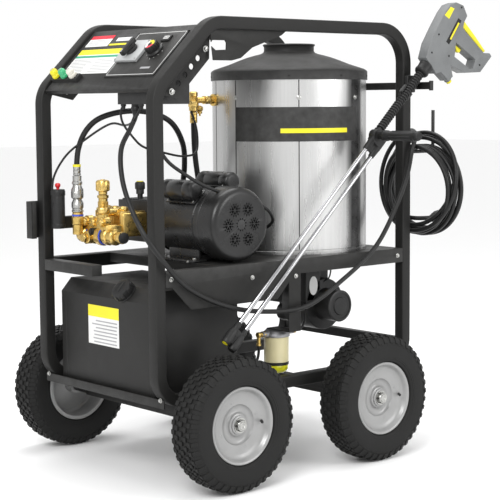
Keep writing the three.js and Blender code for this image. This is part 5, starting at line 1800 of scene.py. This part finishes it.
@dataclass
class Fuel:
    """The moulded tank with its cap and label, and the filter with its head, can and bowl."""

    filter_place: tuple[float, float] = (56.0, -222.0)

    def build(self) -> None:
        """Makes the fuel side's pieces."""
        restyle("fuel_tank", "tank_body", 7, TANK_PLASTIC, segments=4)
        ribs = [brick("rib", (-445.6, s * 223 - 5, 276), (-440, s * 223 + 5, 540), 2.4, 2) for s in (-1, 1)]
        placed(gather("tank_ribs", ribs), TANK_PLASTIC)
        self.cap()
        self.label()
        self.filter()

    def cap(self) -> None:
        """The lobed filler cap with its strap ring."""
        body = [(30.4, 6.4), (33, 6.4), (34, 8), (34, 24), (33, 28), (29, 30), (20, 30.2), (19, 29), (10, 29)]
        core = lathe("core", body, 64)
        lobes = spokes((31, -6, 8), (37, 6, 27.5), 2.6, 3, 8)
        bar = brick("bar", (-20, -4, 27), (20, 4, 30.6), 1.4, 2)
        dress(settle(gather("tank_cap", [core, *lobes, bar]), FILLER), PLASTIC, "fuel_cap", ("fuel_cap",))
        ring = [(30.2, 1), (36, 1), (36.6, 3), (36, 5.4), (30.2, 5.4)]
        turned("cap_tether_ring", ring, FILLER, PLASTIC, closed=True)

    def label(self) -> None:
        """The generic label on the tank's end."""
        x = -446.0
        tiles = (
            ("tank_label", (x, -66, 398), (x + 0.6, 96, 520), PAPER),
            ("tank_label_head", (x - 0.4, -66, 484), (x + 0.2, 96, 520), LABEL_YELLOW),
        )
        for name, low, high, finish in tiles:
            placed(brick(name, low, high, 0.15, 1), finish)
        draw = random.Random(11)
        bars = []
        for k in range(7):
            z = 404 + 11 * k
            bars.append(brick("bar", (x - 0.3, -58 + draw.uniform(0, 6), z), (x + 0.1, 88 - draw.uniform(0, 40), z + 4),
                              0.05, 1))
        placed(gather("tank_label_rows", bars), PRINT)

    def filter(self) -> None:
        """The filter's cast head with its elbows, the can, the clear bowl and the drain."""
        x, y = self.filter_place
        place = at(x, y, 0)
        head = lathe("head", [(39, 400), (43, 401), (43, 408), (41, 411), (38, 418), (33, 422), (30, 423.8)], 64)
        ports = lathe("ports", [(10, -62), (10, -50), (12, -46), (12, 46), (10, 50), (10, 70)], 32)
        settle(head, place)
        settle(ports, at(x, y, 411, TO_X))
        dress(gather("filter_head", [head, ports]), CAST_STEEL, stands_for=("fuel_filter_head",))
        can = [(36, 318), (39.4, 320), (39.8, 324), (39.8, 396), (39, 399.4)]
        turned("filter_can", can, place, CREAM, "filter_bowl", ("fuel_filter_bowl",), 64)
        turned("filter_band", [(39, 310), (40, 311), (40, 318), (39, 319)], place, PLASTIC, "filter_bowl", (), 64)
        bowl = [(14, 284.4), (27, 285), (33, 289), (37, 297), (38.4, 304), (38.4, 311)]
        turned("filter_bowl_cup", bowl, place, BOWL, "filter_bowl", (), 64)
        drain = [(6, 272), (6, 280), (8, 282), (12, 285)]
        turned("filter_drain", drain, place, ZINC, "filter_bowl", (), 24)
        fittings = []
        for sign in (-1, 1):
            turn = TO_X if sign > 0 else TO_BACK
            fittings.append(settle(hexagon("nut", 11, 46, 56), at(x, y, 411, turn)))
            fittings.append(settle(lathe("nose", threads(8, 56, 72, 2.2), 20), at(x, y, 411, turn)))
            fittings.append(settle(hexagon("end", 10, 68, 80), at(x, y, 411, turn)))
        fittings.append(settle(lathe("tail", [(6, 0), (6, 26), (8, 27), (8, 34)], 20), at(x - 74, y, 411, FLIP)))
        dress(gather("filter_fittings", fittings), BRASS)
        line = smooth_line([(132, -222, 411), (146, -222, 411), (162, -221, 414), (177, -218, 423), (188, -213, 437),
                            (195, -206, 454), (199, -198, 470), (201, -190, 486)], 4)
        loop = flex("fuel_line_burner", line, 3.5, HOSE)
        tuple(line[0])
        round(run_of(line), 3)
        line = smooth_line([(-18, -222, 378), (-18, -222, 362), (-24, -221, 334), (-42, -220, 312), (-72, -219, 300),
                            (-100, -218, 296), (-124.6, -218, 296)], 4)
        supply = flex("fuel_line_tank", line, 4.5, HOSE)
        tuple(line[0])
        round(run_of(line), 3)


# ---- wand and gun -------------------------------------------------------------------------------


@dataclass
class Wand:
    """The twin wand with its nozzle shroud, side handle, ribbed sleeve and trigger gun."""

    high: float = 8.5
    low: float = -25.5
    tube: float = 7.0
    valve: float = 850.0
    sleeve: tuple[float, float] = (905.0, 1165.0)
    collar_end: float = 1204.2
    ribs: int = 26

    def on_wand(self, obj: Obj, finish: Finish, body: str = "wand", nodes: tuple[str, ...] = ()) -> None:
        """Puts a piece drawn along the wand in place, and dresses it."""
        dress(settle(obj, WAND), finish, body, nodes)

    def build(self) -> None:
        """Makes the wand's pieces."""
        self.tubes()
        self.shroud()
        self.side_valve()
        self.grip_sleeve()
        self.gun()

    def tubes(self) -> None:
        """The two polished tubes."""
        for name, z, end in (("wand_tube_high", self.high, self.collar_end - 1), ("wand_tube_low", self.low, 862)):
            profile = [(self.tube - 0.4, 58.3), (self.tube, 59), (self.tube, 400), (self.tube, end)]
            piece = settle(lathe(name, profile, 40), shift(0, 0, z) @ TO_X)
            self.on_wand(piece, CHROME, "wand", ("wand_tubes",))

    def shroud(self) -> None:
        """The two faceted nozzle guards with their web and yellow tip."""
        parts = []
        for z in (self.high, self.low):
            guard = [(11.5, 0), (13, 0.6), (15.8, 8), (16, 12), (15.6, 40), (12.6, 50), (10.5, 57), (9.4, 58)]
            parts.append(settle(lathe("guard", guard, 10), shift(0, 0, z) @ TO_X))
            parts.append(settle(lathe("boot", [(9.6, 56), (10.2, 58), (9.8, 72), (8.4, 78), (7.3, 80)], 32),
                                shift(0, 0, z) @ TO_X))
        parts.append(brick("web", (14, -6, self.low), (62, 6, self.high), 2, 2))
        self.on_wand(gather("nozzle_shroud", parts), PLASTIC, "wand", ("wand_nozzles",))
        tip = settle(lathe("nozzle_tip", [(9.5, -0.5), (9.5, 0.6), (5, 1), (4, 6)], 32), shift(0, 0, self.high) @ TO_X)
        self.on_wand(tip, YELLOW)
        tip = settle(lathe("nozzle_core", [(8, 0.2), (8, 1), (3, 1.4)], 32), shift(0, 0, self.low) @ TO_X)
        self.on_wand(tip, BRASS)

    def side_valve(self) -> None:
        """The clamp that joins the tubes, and the side handle that works its valve."""
        v = self.valve
        parts = [
            brick("block", (v, -13, self.low - 8), (v + 54, 13, self.high + 12), 5, 3),
            *(settle(lathe("boot", [(8, -38), (9.6, -36), (11.5, -4), (12.5, 2)], 32), shift(v, 0, z) @ TO_X)
              for z in (self.low, self.high)),
            settle(lathe("boss", [(19, -12.6), (20, -11), (20, 11), (19, 12.6)], 40), shift(v + 26, 0, 8) @ TO_Y),
            brick("web", (v - 30, -5, self.low), (v + 4, 5, self.high), 2, 2),
        ]
        self.on_wand(gather("wand_clamp", parts), PLASTIC)
        profile = [(9, -189.6), (13, -188.6), (15.4, -184), (16, -178), (16, -172), (15, -170), (15, -168),
                   (15.8, -166), (15.4, -110), (14.8, -62), (17, -56), (18, -44), (17, -36), (14, -30),
                   (12, -26), (12, -13.4)]
        grip = lathe("grip", profile, 48)
        flutes = spokes((14.6, -1.4, -160), (16.3, 1.4, -70), 0.7, 1, 10)
        piece = settle(gather("side_grip", [grip, *flutes]), shift(v + 26, 0, 8) @ TO_Y)
        self.on_wand(piece, PLASTIC, "side_handle", ("side_handle",))
        ring = settle(lathe("side_grip_cap", [(10.5, -190.2), (11, -189), (9, -188)], 40), shift(v + 26, 0, 8) @ TO_Y)
        self.on_wand(ring, JACKET, "side_handle")

    def grip_sleeve(self) -> None:
        """The ribbed sleeve and its collar."""
        start, end = self.sleeve
        step = (end - start) / self.ribs
        profile: Profile = [(9, start)]
        for k in range(self.ribs):
            base = start + k * step
            profile += [(11.4, base + 0.1 * step), (14.4, base + 0.24 * step), (15, base + 0.4 * step),
                        (14.4, base + 0.56 * step), (11.4, base + 0.72 * step), (11, base + 0.9 * step)]
        profile += [(16, end), (22, end + 3), (24, end + 7), (24, end + 12), (23, end + 13), (23, self.collar_end - 10),
                    (24, self.collar_end - 8), (24, self.collar_end - 1), (23, self.collar_end)]
        piece = settle(lathe("grip_sleeve", profile, 40), shift(0, 0, self.high) @ TO_X)
        self.on_wand(piece, PLASTIC, "wand", ("wand_sleeve",))

    def gun(self) -> None:
        """The gun's body with its patches, its trigger and its safety latch."""
        restyle("gun_body", "gun_shell", 5, GUN_GREY, "wand", 4)
        restyle("gun_trigger", "trigger_blade", 2.5, YELLOW, "trigger", 3)
        restyle("gun_safety_latch", "latch_tab", 1.4, YELLOW, "safety_latch")
        slot = [(676, 1337), (690, 1328), (752, 1408), (736, 1416)]
        strip = [(694, 1347), (700, 1343), (742, 1399), (735, 1402)]
        patch = [(668, 1424), (690, 1412), (716, 1447), (698, 1452)]
        for name, outline, rise, finish in (("gun_slot", slot, 0.5, VOID), ("gun_strip", strip, 0.9, YELLOW),
                                            ("gun_patch", patch, 0.5, YELLOW)):
            for word, y in (("near", -382.0 - rise), ("far", -342.0 - 0.4)):
                plate = slab(f"{name}_{word}", outline, 0.4 + rise)
                side = DRAWING @ shift(0, y + 0.4 + rise, 0) @ TO_NEAR
                dress(settle(soften(plate, 0.2, 1), side), finish, "wand")
        ends = [(606, 1300), (640, 1360), (690, 1290), (752, 1452), (846, 1262)]
        heads = [at(x, y, z, turn) for x, z in ends
                 for y, turn in ((-381.9, TO_NEAR), (-342.1, TO_Y))]
        dress(spread("gun_screws", screw("gun_screw", 3.2), heads), VOID, "wand")
        lean = rot("Y", 138)
        inlet = [(10.5, -6), (12.5, -4), (12.5, 6), (11, 8)]
        turned("gun_inlet", inlet, at(703, -362, 1216, lean), GUN_GREY, "wand", sides=32)
        tip = [(8.8, 7), (9.4, 8.5), (9.4, 15), (8.4, 17), (4, 17.4)]
        turned("gun_inlet_tip", tip, at(703, -362, 1216, lean), YELLOW, "wand", sides=32)


def main() -> None:
    """Builds the machine in order, with the camera and the cords first."""
    logging.basicConfig(level=logging.INFO, format="%(name)s: %(message)s")
    studio = Studio()
    studio.camera()
    Cords().build()
    Chassis().build()
    for end in ("panel_end", "hanger_end"):
        for side in ("near", "far"):
            Wheel(end, side).build()
    ControlPanel().build()
    Boiler().build()
    Motor().build()
    Pump().build()
    Fuel().build()
    Wand().build()
    studio.build()


if __name__ == "__main__":
    main()
